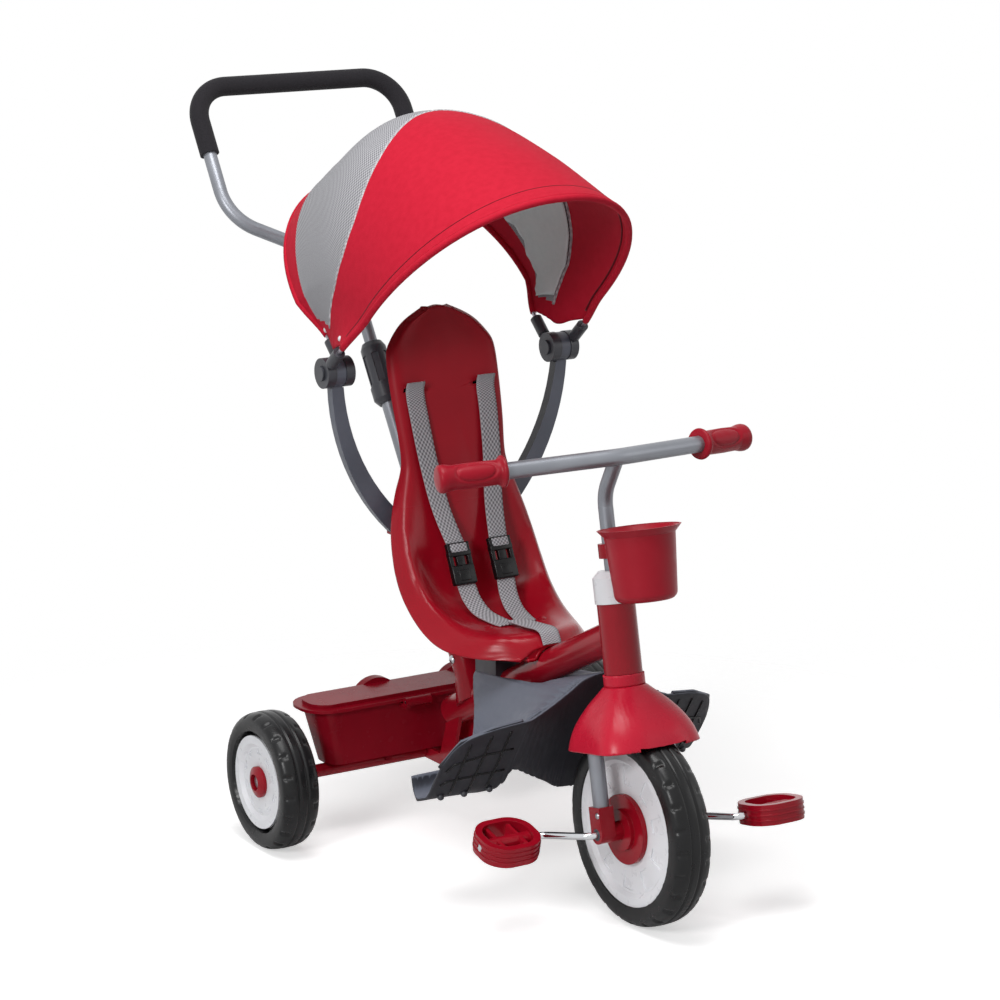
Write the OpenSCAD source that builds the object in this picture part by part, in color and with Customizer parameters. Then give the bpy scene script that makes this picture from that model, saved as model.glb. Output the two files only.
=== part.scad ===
// Toddler push-along trike: a three-wheeler with a bucket seat, folding canopy, parent push handle,
// foot troughs and a lidded storage bin. Millimetres, +Z up, the rider faces -Y, +X is the rider's left.
// Every piece is drawn from the front-axle datum and set back so that the origin lies under the middle.

/* [Wheels] */
// Radius of the front tyre
front_tyre_r = 125; // [115:1:132]
// Width of the front tyre
front_tyre_w = 52; // [44:1:54]
// Radius of the white front rim
front_rim_r = 98; // [88:1:104]
// Radius of the rear tyres
rear_tyre_r = 93; // [86:1:100]
// Width of a rear tyre
rear_tyre_w = 53; // [44:1:58]
// Radius of a white rear rim
rear_rim_r = 63; // [54:1:70]
// Distance between the middles of the rear tyres
rear_track = 498; // [490:1:540]
// Distance from the front axle to the rear axle
wheelbase = 512; // [500:1:540]
// Rounding of a tyre's shoulders
tyre_shoulder_r = 12; // [6:0.5:14]
// Depth of the tread grooves
tread_d = 2.4; // [1:0.2:4]
// Width of the tread grooves
tread_w = 3.2; // [1.5:0.1:4.5]
// Number of shoulder notches round each side of a tyre
tread_count = 30; // [18:1:40]

/* [Steering] */
// Backward lean of the steering axis from upright
steer_lean = 10.7; // [6:0.1:14]
// Radius of the head tube
head_tube_r = 24; // [22:0.5:26]
// Length of the head tube
head_tube_len = 88; // [80:1:100]
// Distance of the head tube's lower end from the front axle, along the steering axis
head_tube_low = 192; // [188:1:210]
// Radius of the fork tubes
fork_tube_r = 10; // [8:0.5:11]
// Half the distance between the fork legs
fork_half_w = 53; // [50:0.5:58]
// Radius of the fork's steerer tube
steerer_r = 14; // [12.5:0.5:15]
// Radius of the handlebar and its stem
bar_r = 10.5; // [8:0.5:11]
// Height of the handlebar above the front axle, along the steering axis
bar_height = 460; // [440:1:480]
// How far the handlebar's middle stands in front of the steering axis
bar_reach = 38; // [30:1:50]
// Half the width of the handlebar, over the grips
bar_half_w = 226; // [200:1:250]
// Backward sweep of each half of the handlebar
bar_sweep = 13; // [6:0.5:18]
// Length of a grip
grip_len = 86; // [70:1:110]
// Radius of a grip
grip_r = 15; // [13:0.5:18]
// Radius of the cup's flared rim
cup_rim_r = 52; // [48:0.5:54]
// Height of the cup
cup_h = 90; // [70:1:94]

/* [Pedals] */
// Radius of the crank rod
crank_r = 4.5; // [3.5:0.1:5.5]
// Distance from the front axle to the pedal pins
crank_throw = 58; // [45:1:70]
// Turn of the cranks from level
crank_turn = 8; // [0:1:45]
// Tilt of the right pedal, front edge down
right_pedal_tilt = 14; // [-45:1:45]
// Tilt of the left pedal, front edge down
left_pedal_tilt = -10; // [-45:1:45]
// Length of a pedal along its pin
pedal_len = 78; // [60:1:90]
// Width of a pedal across its pin
pedal_w = 72; // [50:1:78]
// Thickness of a pedal
pedal_h = 26; // [20:1:32]

/* [Frame] */
// Radius of the main tube
main_tube_r = 21; // [18:0.5:22]
// Fall of the main tube towards the rear
main_drop = 26; // [22:0.5:28]
// How far the main tube's end lies ahead of the rear axle
tube_end_ahead = 61; // [55:1:72]
// Wall of the main tube and the head tube
tube_wall = 2; // [1.2:0.1:3]
// Radius of the rear axle beam
beam_r = 9; // [7:0.5:10]
// Radius of the rear axle rod
axle_rod_r = 4.5; // [3.5:0.1:5]

/* [Push handle] */
// Distance along the main tube from its rear end to the push stem's foot
stem_foot_in = 68; // [52:1:76]
// Backward lean of the push stem from upright
stem_lean = 31.5; // [30:0.5:34]
// Radius of the lower push stem
stem_r = 11; // [10:0.25:12]
// Wall of the lower push stem
stem_wall = 2; // [1.4:0.1:2.4]
// Distance of the lock collar's lower end from the stem's foot
lock_low = 432; // [420:1:450]
// Length of the lock collar
lock_len = 90; // [70:1:110]
// Radius of the lock collar
lock_r = 18; // [16:0.5:22]
// Distance of the handle loop's foot from the stem's foot
loop_foot = 650; // [640:1:680]
// Distance of the grip from the stem's foot
loop_top = 927; // [900:1:960]
// Half the width of the handle loop
loop_half_w = 161; // [140:1:180]
// Slope of the loop's lower arms
loop_slope = 28; // [20:1:35]
// Radius of the foam grip
foam_r = 13.5; // [12:0.5:17]
// How far the foam reaches down each side from the top
foam_reach = 102; // [80:1:130]

/* [Seat] */
// Height of the seat pan's top
seat_z = 320; // [318:1:330]
// Distance of the seat's nose from the front axle
seat_nose_y = 203; // [195:1:210]
// Length of the bucket from the nose to its back
seat_len = 246; // [240:1:252]
// Height of the bucket's back above the pan
seat_rise = 206; // [190:1:220]
// Half the width of the bucket
seat_half_w = 112; // [104:1:118]
// Wall of the bucket
seat_wall = 4; // [3:0.25:5]
// Height of the seat back's top
back_top_z = 716; // [680:1:730]
// Half the width of the seat back
back_half_w = 84; // [74:1:86]
// Depth of the rolled edge round the seat back
back_roll = 10; // [6:0.5:14]
// Backward slope of the seat back, in run over rise
back_slope = 0.24; // [0.2:0.01:0.27]
// Width of the harness webbing
strap_w = 27; // [20:1:32]
// Thickness of the harness webbing
strap_t = 2; // [1.5:0.1:3]

/* [Canopy] */
// Height of the canopy hubs
hub_z = 648; // [630:1:670]
// Distance of the canopy hubs from the front axle
hub_y = 450; // [446:1:456]
// Distance of a hub's middle from the centre plane
hub_x = 172; // [166:1:180]
// Radius of a hub disc
hub_r = 20; // [17:0.5:22]
// Thickness of a hub disc
hub_disc_t = 12.5; // [9:0.5:14]
// Radius of the bend of the canopy arms
arm_bend_r = 300; // [280:1:320]
// Thickness of a canopy arm
arm_t = 14; // [10:0.5:16]
// Angle of the rear bow, from straight back
rear_bow_angle = 43; // [40:1:48]
// Angle of the front bow, from straight back
front_bow_angle = 140; // [132:1:144]
// Reach of the rear bow from the hub
rear_bow_reach = 320; // [300:1:335]
// Reach of the front bow from the hub
front_bow_reach = 376; // [350:1:390]
// Half the width of the canopy
canopy_half_w = 177; // [174:0.5:181]
// Radius of a bow rod
bow_r = 3; // [2:0.25:3.5]
// Thickness of the canopy fabric
fabric_t = 1.6; // [1:0.1:2.5]
// Reach of the fabric's crown from the hub, above the head
crown_reach = 326; // [310:1:340]

/* [Footrest] */
// Half the width of the footrest
foot_half_w = 200; // [180:1:210]
// Wall of the footrest
foot_wall = 4; // [3:0.25:5]
// Height of the foot troughs' floor
foot_floor_z = 138; // [132:1:150]
// Height of the footrest's spine at its front
foot_top_z = 306; // [300:1:308]
// Distance of the footrest's front rim from the front axle
foot_front_y = 80; // [76:1:92]
// Length of the footrest along its flanks
foot_len = 238; // [220:1:245]

/* [Storage bin] */
// Width of the bin lid
lid_w = 408; // [380:1:414]
// Depth of the bin lid
lid_d = 88; // [80:1:92]
// Corner radius of the bin lid
lid_corner_r = 38; // [25:1:39]
// Height of the bin lid's flat top
lid_top_z = 190; // [186:1:205]
// How far the lid's front edge lies ahead of the rear axle
lid_ahead = 38; // [28:1:40]
// Wall of the bin
bin_wall = 3; // [2:0.25:4]

/* [Hidden] */
$fn = 48;

// Fits and cuts
running_fit = 0.05;
seat_gap = 0.3;
bend_lap = 0.8;
bend_step = 0.06;
cut = 1;

// Colours, as the object shows them
gloss_red = "firebrick";
cloth_red = "crimson";
tube_grey = "silver";
slate_grey = "slategray";
dark_grey = "dimgray";
tyre_black = "black";
rim_white = "white";

// Driving places along the frame
front_axle_z = front_tyre_r;
rear_axle_z = rear_tyre_r;
head_join = 241;
head_join_y = head_join * sin(steer_lean);
head_join_z = front_axle_z + head_join * cos(steer_lean);
main_tube_len = (wheelbase - tube_end_ahead - head_join_y) / cos(main_drop);
stem_foot = main_tube_len - stem_foot_in;
stem_foot_y = head_join_y + stem_foot * cos(main_drop);
stem_foot_z = head_join_z - stem_foot * sin(main_drop);
grip_back_y = stem_foot_y + loop_top * sin(stem_lean) + foam_r;
overall_len = front_tyre_r + grip_back_y;
front_axle_y = front_tyre_r - overall_len / 2;

// Height of the main tube's axis at a distance behind the front axle
function main_z(y) = head_join_z - (y - head_join_y) * tan(main_drop);
// Height of the main tube's underside there
function main_low_z(y) = main_z(y) - main_tube_r / cos(main_drop);
// Place of the seat back's front face at a height
back_foot_y = 438;
back_foot_z = 551;
function back_y(z) = back_foot_y + back_slope * (z - back_foot_z);

// Frames: each draws its children in a piece's own axes
module datum() translate([0, front_axle_y, 0]) children();
module steering() datum() translate([0, 0, front_axle_z]) rotate([-steer_lean, 0, 0]) children();
module main_frame()
    datum() translate([0, head_join_y, head_join_z]) rotate([-(90 + main_drop), 0, 0]) children();
module stem_frame()
    datum() translate([0, stem_foot_y, stem_foot_z]) rotate([-stem_lean, 0, 0]) children();
module front_wheel_frame() datum() translate([0, 0, front_axle_z]) rotate([0, 90, 0]) children();
module rear_wheel_frame(side)
    datum() translate([side * rear_track / 2, wheelbase, rear_axle_z]) rotate([0, side * 90, 0]) children();
module hub_frame() datum() translate([0, hub_y, hub_z]) children();
module both_sides() for (flip = [0, 1]) mirror([flip, 0, 0]) children();

// Shared shapes
module tube(r, bore, h) difference() {
    cylinder(r = r, h = h);
    translate([0, 0, -cut]) cylinder(r = bore, h = h + 2 * cut);
}
// A bent rod. Each step is a straight length, a roll, a bend angle and a bend radius. A straight runs a
// little way into its bends, which are a hair thinner, so that the pieces join as one solid
module bent_rod(steps, r, i = 0) {
    if (i < len(steps)) {
        lead = i > 0 ? bend_lap : 0;
        tail = steps[i][2] > 0 ? bend_lap : 0;
        translate([0, 0, -lead]) cylinder(r = r, h = steps[i][0] + lead + tail);
        translate([0, 0, steps[i][0]]) rotate([0, 0, steps[i][1]])
            if (steps[i][2] > 0) {
                translate([steps[i][3], 0, 0]) rotate([90, 0, 180])
                    rotate_extrude(angle = steps[i][2]) translate([steps[i][3], 0]) circle(r = r - bend_step);
                translate([steps[i][3] * (1 - cos(steps[i][2])), 0, steps[i][3] * sin(steps[i][2])])
                    rotate([0, steps[i][2], 0]) bent_rod(steps, r, i + 1);
            } else bent_rod(steps, r, i + 1);
    }
}
module round_rect(w, d, r) union() {
    square([w - 2 * r, d], center = true);
    square([w, d - 2 * r], center = true);
    for (sx = [-1, 1], sy = [-1, 1]) translate([sx * (w / 2 - r), sy * (d / 2 - r)]) circle(r = r);
}
module bolt_head(r, h) rotate_extrude() intersection() {
    translate([0, 0]) square([r, h]);
    translate([0, h - (r * r + h * h) / (2 * h)]) circle(r = (r * r + h * h) / (2 * h));
}

// Curves and sheets
function curve_at(a, b, c, d, t) = 0.5 * (2 * b + (c - a) * t + (2 * a - 5 * b + 4 * c - d) * t * t
    + (3 * b - a - 3 * c + d) * t * t * t);
function through(l, n) = let (last = len(l) - 1) [for (i = [0 : last * n])
    let (k = min(floor(i / n), last - 1), t = (i - k * n) / n)
    curve_at(l[max(k - 1, 0)], l[k], l[k + 1], l[min(k + 2, last)], t)];
function grid_through(g, n, m) = let (rows = [for (row = g) through(row, m)],
    columns = [for (j = [0 : len(rows[0]) - 1]) through([for (row = rows) row[j]], n)])
    [for (i = [0 : len(columns[0]) - 1]) [for (c = columns) c[i]]];
function grid_normal(g, i, j) = let (n = len(g) - 1, m = len(g[0]) - 1,
    along = g[min(i + 1, n)][j] - g[max(i - 1, 0)][j],
    across = g[i][min(j + 1, m)] - g[i][max(j - 1, 0)], v = cross(along, across)) v / norm(v);
// A closed sheet of thickness t under a grid of points
module sheet(g, t) {
    n = len(g);
    m = len(g[0]);
    low = n * m;
    points = concat([for (i = [0 : n - 1], j = [0 : m - 1]) g[i][j]],
        [for (i = [0 : n - 1], j = [0 : m - 1]) g[i][j] - t * grid_normal(g, i, j)]);
    faces = concat(
        [for (i = [0 : n - 2], j = [0 : m - 2]) let (p = i * m + j) each
            [[p, p + 1, p + m + 1], [p, p + m + 1, p + m],
             [low + p, low + p + m + 1, low + p + 1], [low + p, low + p + m, low + p + m + 1]]],
        [for (j = [0 : m - 2]) let (p = (n - 1) * m + j) each
            [[j + 1, j, low + j], [j + 1, low + j, low + j + 1],
             [p, p + 1, low + p + 1], [p, low + p + 1, low + p]]],
        [for (i = [0 : n - 2]) let (p = i * m, q = i * m + m - 1) each
            [[p, p + m, low + p + m], [p, low + p + m, low + p],
             [q + m, q, low + q], [q + m, low + q, low + q + m]]]);
    polyhedron(points, faces);
}
// A round rod swept along a flat path whose plane has the normal given
module flat_rod(path, normal, r, sides) {
    n = len(path);
    points = [for (i = [0 : n - 1]) let (d = path[min(i + 1, n - 1)] - path[max(i - 1, 0)],
        side = cross(d / norm(d), normal)) for (k = [0 : sides - 1])
        path[i] + r * (cos(360 * k / sides) * side + sin(360 * k / sides) * normal)];
    walls = [for (i = [0 : n - 2], k = [0 : sides - 1]) let (a = i * sides + k,
        b = i * sides + (k + 1) % sides) each [[a, b, b + sides], [a, b + sides, a + sides]]];
    ends = [for (k = [1 : sides - 2]) each
        [[0, k + 1, k], [(n - 1) * sides, (n - 1) * sides + k, (n - 1) * sides + k + 1]]];
    polyhedron(points, concat(walls, ends));
}

// Wheels
tyre_seat = 6;
rim_inset = 3;
rim_wall = 3;
rim_barrel = 4;
rim_lip_w = 11;
rim_dish_d = 5;
rim_part_gap = 0.4;
rim_pocket_d = 1.4;
front_pocket_n = 10;
rear_pocket_n = 10;
pocket_half_angle = 8;
pocket_edge = 3;
tread_lane_share = 0.12;
notch_reach = 10;
hub_tube_r = 13;
front_hub_r = 44;
hub_flange_t = 7;
hub_step_r = 26;
hub_step_t = 6;
hub_nose_r = 15;
hub_end_x = 43;
cap_r = 21;
cap_h = 5;
nut_r = 8;
nut_t = 4;
rod_end_gap = 3;

module tyre(r, w, rim_r) difference() {
    bore_r = rim_r - tyre_seat + seat_gap;
    notch_d = 2 * rim_inset;
    rotate_extrude($fn = 96) difference() {
        union() {
            translate([bore_r, -w / 2]) square([r - tyre_shoulder_r - bore_r, w]);
            translate([bore_r, tyre_shoulder_r - w / 2]) square([r - bore_r, w - 2 * tyre_shoulder_r]);
            for (s = [-1, 1]) translate([r - tyre_shoulder_r, s * (w / 2 - tyre_shoulder_r)])
                circle(r = tyre_shoulder_r);
        }
        for (s = [-1, 1]) translate([r - tread_d, s * w * tread_lane_share - tread_w / 2])
            square([tread_d + cut, tread_w]);
        for (s = [-1, 1]) translate([bore_r - cut, s > 0 ? w / 2 - notch_d : -w / 2 - cut])
            square([rim_r + seat_gap - bore_r + cut, notch_d + cut]);
    }
    for (s = [-1, 1], k = [0 : tread_count - 1]) rotate([0, 0, (k + (s > 0 ? 0.5 : 0)) * 360 / tread_count])
        translate([r - tyre_shoulder_r / 2, -tread_w / 2, s > 0 ? w / 2 - notch_reach : -w / 2 - cut])
            cube([tyre_shoulder_r, tread_w, notch_reach + cut]);
}
// One dished half of a wheel rim, its open side at z = 0 and its face towards +z
module rim_half(r, face, pocket_n) difference() {
    rotate_extrude($fn = 96) polygon([[hub_tube_r, face - rim_dish_d - rim_wall],
        [r - tyre_seat - rim_barrel, face - rim_dish_d - rim_wall],
        [r - tyre_seat - rim_barrel, rim_part_gap / 2], [r - tyre_seat, rim_part_gap / 2],
        [r - tyre_seat, face - rim_inset], [r, face - rim_inset], [r, face], [r - rim_lip_w, face],
        [r - rim_lip_w - rim_dish_d, face - rim_dish_d], [hub_tube_r, face - rim_dish_d]]);
    for (k = [0 : pocket_n - 1]) rotate([0, 0, k * 360 / pocket_n])
        translate([0, 0, face - rim_dish_d - rim_pocket_d])
            rotate([0, 0, -pocket_half_angle]) rotate_extrude(angle = 2 * pocket_half_angle)
                translate([(r + hub_tube_r) / 2, 0])
                    square([(r - hub_tube_r) / 2 - rim_lip_w - rim_dish_d - pocket_edge, rim_pocket_d + cut]);
}
module rim(r, face, pocket_n) {
    rim_half(r, face, pocket_n);
    mirror([0, 0, 1]) rim_half(r, face, pocket_n);
}
front_face = front_tyre_w / 2 - rim_inset;
rear_face = rear_tyre_w / 2 - rim_inset;
module front_tyre() color(tyre_black) front_wheel_frame() tyre(front_tyre_r, front_tyre_w, front_rim_r);
module front_rim() color(rim_white) front_wheel_frame() rim(front_rim_r, front_face, front_pocket_n);
module front_hub() color(gloss_red) front_wheel_frame() difference() {
    rotate_extrude() union() for (s = [0, 1]) mirror([0, s]) {
        square([hub_tube_r - seat_gap, front_face]);
        translate([0, front_face - rim_dish_d + seat_gap]) square([front_hub_r, hub_flange_t]);
        translate([0, front_face - rim_dish_d + hub_flange_t]) square([hub_step_r, hub_step_t]);
        square([hub_nose_r - rim_wall, hub_end_x]);
    }
    cylinder(r = crank_r + running_fit, h = 2 * (hub_end_x + cut), center = true);
}
bracket_wall = 1;
bracket_out_x = fork_half_w + fork_tube_r + bracket_wall;
crank_bend = 60;
crank_bend_r = 14;
crank_gap = 2;
crank_inner = bracket_out_x + crank_gap;
crank_slant = (crank_throw - 2 * crank_bend_r * (1 - cos(crank_bend))) / sin(crank_bend);
crank_side = 2 * crank_bend_r * sin(crank_bend) + crank_slant * cos(crank_bend);
pedal_clear = 4;
pedal_x = crank_inner + crank_side + pedal_clear + pedal_len / 2;
crank_pin = pedal_clear + pedal_len;
crank_half_len = crank_inner + crank_side + crank_pin;
module crank() color(tube_grey) front_wheel_frame() rotate([0, 0, -crank_turn])
    translate([0, crank_throw, -crank_half_len]) bent_rod([[crank_pin, -90, crank_bend, crank_bend_r],
        [crank_slant, 180, crank_bend, crank_bend_r], [2 * crank_inner, 180, crank_bend, crank_bend_r],
        [crank_slant, 180, crank_bend, crank_bend_r], [crank_pin, 0, 0, 0]], crank_r);
pedal_rim = 9;
pedal_corner_r = 30;
pedal_tube_r = 9;
pedal_web = 5;
pedal_rib = 2;
module pedal() difference() {
    union() {
        linear_extrude(pedal_h, center = true) difference() {
            round_rect(pedal_len, pedal_w, pedal_corner_r);
            round_rect(pedal_len - 2 * pedal_rim, pedal_w - 2 * pedal_rim, pedal_corner_r - pedal_rim);
        }
        for (z = [-1, 0, 1]) translate([0, 0, z * pedal_h / 4]) linear_extrude(pedal_rib, center = true)
            difference() {
                round_rect(pedal_len + pedal_rib, pedal_w + pedal_rib, pedal_corner_r + pedal_rib / 2);
                round_rect(pedal_len - pedal_rim, pedal_w - pedal_rim, pedal_corner_r - pedal_rim);
            }
        rotate([0, 90, 0]) cylinder(r = pedal_tube_r, h = pedal_len - pedal_rim, center = true);
        for (s = [-1, 1]) translate([s * pedal_len / 5, 0, 0])
            cube([pedal_web, pedal_w - pedal_rim, pedal_h - pedal_rim], center = true);
    }
    rotate([0, 90, 0]) cylinder(r = crank_r + running_fit, h = pedal_len + 2 * pedal_rim, center = true);
}
module pedal_place(side, tilt) datum()
    translate([side * pedal_x, -side * crank_throw * cos(crank_turn),
        front_axle_z + side * crank_throw * sin(crank_turn)]) rotate([tilt, 0, 0]) children();
module right_pedal() color(gloss_red) pedal_place(-1, right_pedal_tilt) pedal();
module left_pedal() color(gloss_red) pedal_place(1, left_pedal_tilt) pedal();

rear_nose_x = 5;
module rear_tyre(side) rear_wheel_frame(side) tyre(rear_tyre_r, rear_tyre_w, rear_rim_r);
module rear_rim(side) rear_wheel_frame(side) {
    rim(rear_rim_r, rear_face, rear_pocket_n);
    difference() {
        translate([0, 0, -rear_tyre_w / 2 - rear_nose_x])
            cylinder(r = hub_tube_r, h = rear_tyre_w / 2 + rear_nose_x + rear_face - rim_dish_d);
        translate([0, 0, -rear_tyre_w])
            cylinder(r = axle_rod_r + running_fit, h = 2 * rear_tyre_w);
    }
}
// The cap clips over the rim's middle and covers the axle nut
module hub_cap(side) rear_wheel_frame(side) translate([0, 0, rear_face - rim_dish_d + seat_gap]) difference() {
    rotate_extrude() intersection() {
        square([cap_r, cap_h + rim_dish_d]);
        translate([0, cap_h + rim_dish_d - cap_r * 2]) circle(r = cap_r * 2);
    }
    translate([0, 0, -cut]) cylinder(r = nut_r + rod_end_gap, h = nut_t + 2 * rod_end_gap + cut);
}
module right_rear_tyre() color(tyre_black) rear_tyre(-1);
module left_rear_tyre() color(tyre_black) rear_tyre(1);
module right_rear_rim() color(rim_white) rear_rim(-1);
module left_rear_rim() color(rim_white) rear_rim(1);
module right_hub_cap() color(gloss_red) hub_cap(-1);
module left_hub_cap() color(gloss_red) hub_cap(1);

// Frame
bush_wall = 4;
head_bore_r = steerer_r + bush_wall;
bush_len = 14;
module main_tube() color(gloss_red) difference() {
    main_frame() tube(main_tube_r, main_tube_r - tube_wall, main_tube_len);
    steering() translate([0, 0, head_tube_low - head_tube_len])
        cylinder(r = head_tube_r, h = 3 * head_tube_len);
    foot_bolt_places() cylinder(r = foot_bolt_r, h = main_tube_r * 2);
    stem_frame() cylinder(r = stem_r, h = main_tube_r * 2);
}
module head_tube() color(gloss_red) steering() translate([0, 0, head_tube_low])
    tube(head_tube_r, head_bore_r, head_tube_len);
module head_bushes() color(dark_grey) steering()
    for (w = [head_tube_low, head_tube_low + head_tube_len - bush_len])
        translate([0, 0, w]) tube(head_bore_r, steerer_r + running_fit, bush_len);
beam_half = rear_track / 2 - rear_tyre_w / 2 - rear_nose_x - seat_gap;
module rear_axle_beam() color(gloss_red) datum() translate([-beam_half, wheelbase, rear_axle_z])
    rotate([0, 90, 0]) tube(beam_r, axle_rod_r, 2 * beam_half);
rod_half = rear_track / 2 + rear_face - rim_dish_d + seat_gap + nut_t;
module rear_axle_rod() color(tube_grey) datum() translate([-rod_half, wheelbase, rear_axle_z])
    rotate([0, 90, 0]) cylinder(r = axle_rod_r, h = 2 * rod_half);
module axle_nuts() color(tube_grey) for (side = [-1, 1]) rear_wheel_frame(side)
    translate([0, 0, rear_face - rim_dish_d + seat_gap]) tube(nut_r, axle_rod_r, nut_t);
gusset_x = 13;
gusset_t = 5;
gusset_run = 44;
gusset_step = 15;
gusset_edge = 1;
main_end_y = head_join_y + main_tube_len * cos(main_drop);
main_end_z = head_join_z - main_tube_len * sin(main_drop);
module rear_bracket() color(gloss_red) difference() {
    datum() for (side = [-1, 1]) translate([side * gusset_x - gusset_t / 2, 0, 0])
        rotate([90, 0, 90]) linear_extrude(gusset_t) polygon([
            [main_end_y - gusset_run, main_z(main_end_y - gusset_run)], [main_end_y - gusset_edge, main_end_z],
            [main_end_y - gusset_edge, main_end_z - main_tube_r],
            [main_end_y + gusset_step, rear_axle_z + beam_r - gusset_edge],
            [wheelbase, rear_axle_z + beam_r - gusset_edge], [wheelbase, rear_axle_z - beam_r + gusset_edge],
            [main_end_y - gusset_step, rear_axle_z - beam_r + gusset_edge]]);
    main_frame() cylinder(r = main_tube_r, h = 2 * main_tube_len);
    datum() translate([-beam_half, wheelbase, rear_axle_z]) rotate([0, 90, 0])
        cylinder(r = beam_r, h = 2 * beam_half);
}
// Moulded socket that clamps the push stem on the main tube
socket_r = 20;
socket_h = 78;
socket_foot_r = 30;
socket_foot_h = 40;
socket_bolt_r = 3;
socket_bolt_head_r = 6;
socket_bolt_head_h = 4;
socket_bolt_up = 60;
module stem_socket() color(gloss_red) difference() {
    stem_frame() {
        cylinder(r = socket_r, h = socket_h);
        cylinder(r1 = socket_foot_r, r2 = socket_r, h = socket_foot_h);
    }
    main_frame() cylinder(r = main_tube_r, h = main_tube_len);
    stem_frame() cylinder(r = stem_r, h = socket_h + cut);
    stem_frame() translate([0, 0, socket_bolt_up]) rotate([0, 90, 0])
        cylinder(r = socket_bolt_r, h = 2 * socket_foot_r, center = true);
}
module socket_bolts() color(tube_grey) stem_frame() translate([0, 0, socket_bolt_up]) rotate([0, 90, 0]) {
    cylinder(r = socket_bolt_r, h = 2 * socket_r, center = true);
    for (s = [0, 1]) mirror([0, 0, s]) translate([0, 0, socket_r])
        bolt_head(socket_bolt_head_r, socket_bolt_head_h);
}
stem_end = lock_low + lock_len / 2;
stem_bore_r = stem_r - stem_wall;
push_tube_r = stem_bore_r - running_fit;
module push_stem() color(tube_grey) difference() {
    stem_frame() tube(stem_r, stem_bore_r, stem_end);
    stem_frame() translate([0, 0, socket_bolt_up]) rotate([0, 90, 0])
        cylinder(r = socket_bolt_r, h = 2 * socket_foot_r, center = true);
    main_frame() translate([0, 0, -cut]) cylinder(r = main_tube_r - tube_wall, h = main_tube_len);
}

// Footrest: one moulded sheet. From the rim it runs down a sloping toe plate. In the middle it turns back up
// behind the plate to the rim and on as a saddle below the main tube, with a flank at each side; further out it
// runs on as a floor with a heel lip.
// Columns run from the middle outwards; each row gives shares of the length and of the height.
foot_column_shares = [0, 0.1, 0.16, 0.23, 0.37, 0.5, 0.54, 0.75, 0.93, 1];
foot_rim_y_shares = [0, 0.005, 0.015, 0.03, 0.042, 0.043, 0.047, 0.085, 0.16, 0.285];
foot_rim_z_shares = [1, 0.985, 0.955, 0.89, 0.79, 0.72, 0.71, 0.67, 0.575, 0.35];
foot_toe_y_shares = [0.3, 0.3, 0.3, 0.29, 0.27, 0.255, 0.345, 0.375, 0.41, 0.425];
foot_toe_z_shares = [0.005, 0.01, 0.03, 0.085, 0.175, 0.25, 0.085, 0.075, 0.07, 0.065];
foot_turn_y_shares = [0.309, 0.309, 0.309, 0.299, 0.279, 0.264, 0.37, 0.4, 0.433, 0.45];
foot_turn_z_shares = [0.01, 0.015, 0.035, 0.09, 0.18, 0.255, 0.08, 0.07, 0.062, 0.055];
foot_floor_y_shares = [0.013, 0.018, 0.027, 0.042, 0.054, 0.058, 0.46, 0.49, 0.52, 0.537];
foot_floor_z_shares = [0.985, 0.97, 0.94, 0.875, 0.775, 0.705, 0.055, 0.04, 0.02, 0.01];
foot_rise_y_shares = [0.336, 0.336, 0.336, 0.336, 0.46, 0.525, 0.515, 0.53, 0.555, 0.57];
foot_rise_z_shares = [0, 0, 0, 0.8, 0.535, 0.22, 0.13, 0.09, 0.065, 0.06];
foot_back_y_shares = [0.72, 0.72, 0.72, 1, 0.82, 0.64, 0.585, 0.555, 0.57, 0.585];
foot_back_z_shares = [0, 0, 0, 0.72, 0.53, 0.37, 0.28, 0.2, 0.18, 0.17];
foot_h = foot_top_z - foot_floor_z;
foot_cradle_n = 3;
foot_steps = 1;
foot_column_steps = 3;
function foot_point(j, y_share, z_share) = let (y = foot_front_y + y_share * foot_len)
    [foot_column_shares[j] * foot_half_w, y, foot_floor_z + z_share * foot_h];
function foot_cradle(j, y_share) = let (y = foot_front_y + y_share * foot_len)
    [foot_column_shares[j] * foot_half_w, y, main_low_z(y) - seat_gap];
function foot_carried(j, y_share, z_share) = j < foot_cradle_n ? foot_cradle(j, y_share)
    : foot_point(j, y_share, z_share);
function foot_column(j) = [foot_point(j, foot_rim_y_shares[j], foot_rim_z_shares[j]),
    foot_point(j, foot_toe_y_shares[j], foot_toe_z_shares[j]),
    foot_point(j, foot_turn_y_shares[j], foot_turn_z_shares[j]),
    foot_point(j, foot_floor_y_shares[j], foot_floor_z_shares[j]),
    foot_carried(j, foot_rise_y_shares[j], foot_rise_z_shares[j]),
    foot_carried(j, foot_back_y_shares[j], foot_back_z_shares[j])];
foot_half = [for (j = [0 : len(foot_column_shares) - 1]) foot_column(j)];
function mirrored(p) = [-p[0], p[1], p[2]];
foot_net = concat([for (j = [len(foot_half) - 1 : -1 : 1]) [for (p = foot_half[j]) mirrored(p)]], foot_half);
foot_bolt_r = 2.5;
foot_bolt_head_r = 5.5;
foot_bolt_head_h = 3;
foot_bolt_shares = [0.485, 0.64];
module foot_bolt_places() for (share = foot_bolt_shares) let (y = foot_front_y + share * foot_len)
    datum() translate([0, y, main_z(y)]) rotate([180 - main_drop, 0, 0]) children();
module footrest() color(slate_grey) difference() {
    datum() sheet(grid_through(foot_net, foot_column_steps, foot_steps), foot_wall);
    foot_bolt_places() cylinder(r = foot_bolt_r, h = main_tube_r * 2);
    main_frame() cylinder(r = main_tube_r + seat_gap / 2, h = main_tube_len);
}
foot_bolt_grip = main_tube_r + seat_gap * cos(main_drop) + foot_wall + seat_gap;
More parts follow.
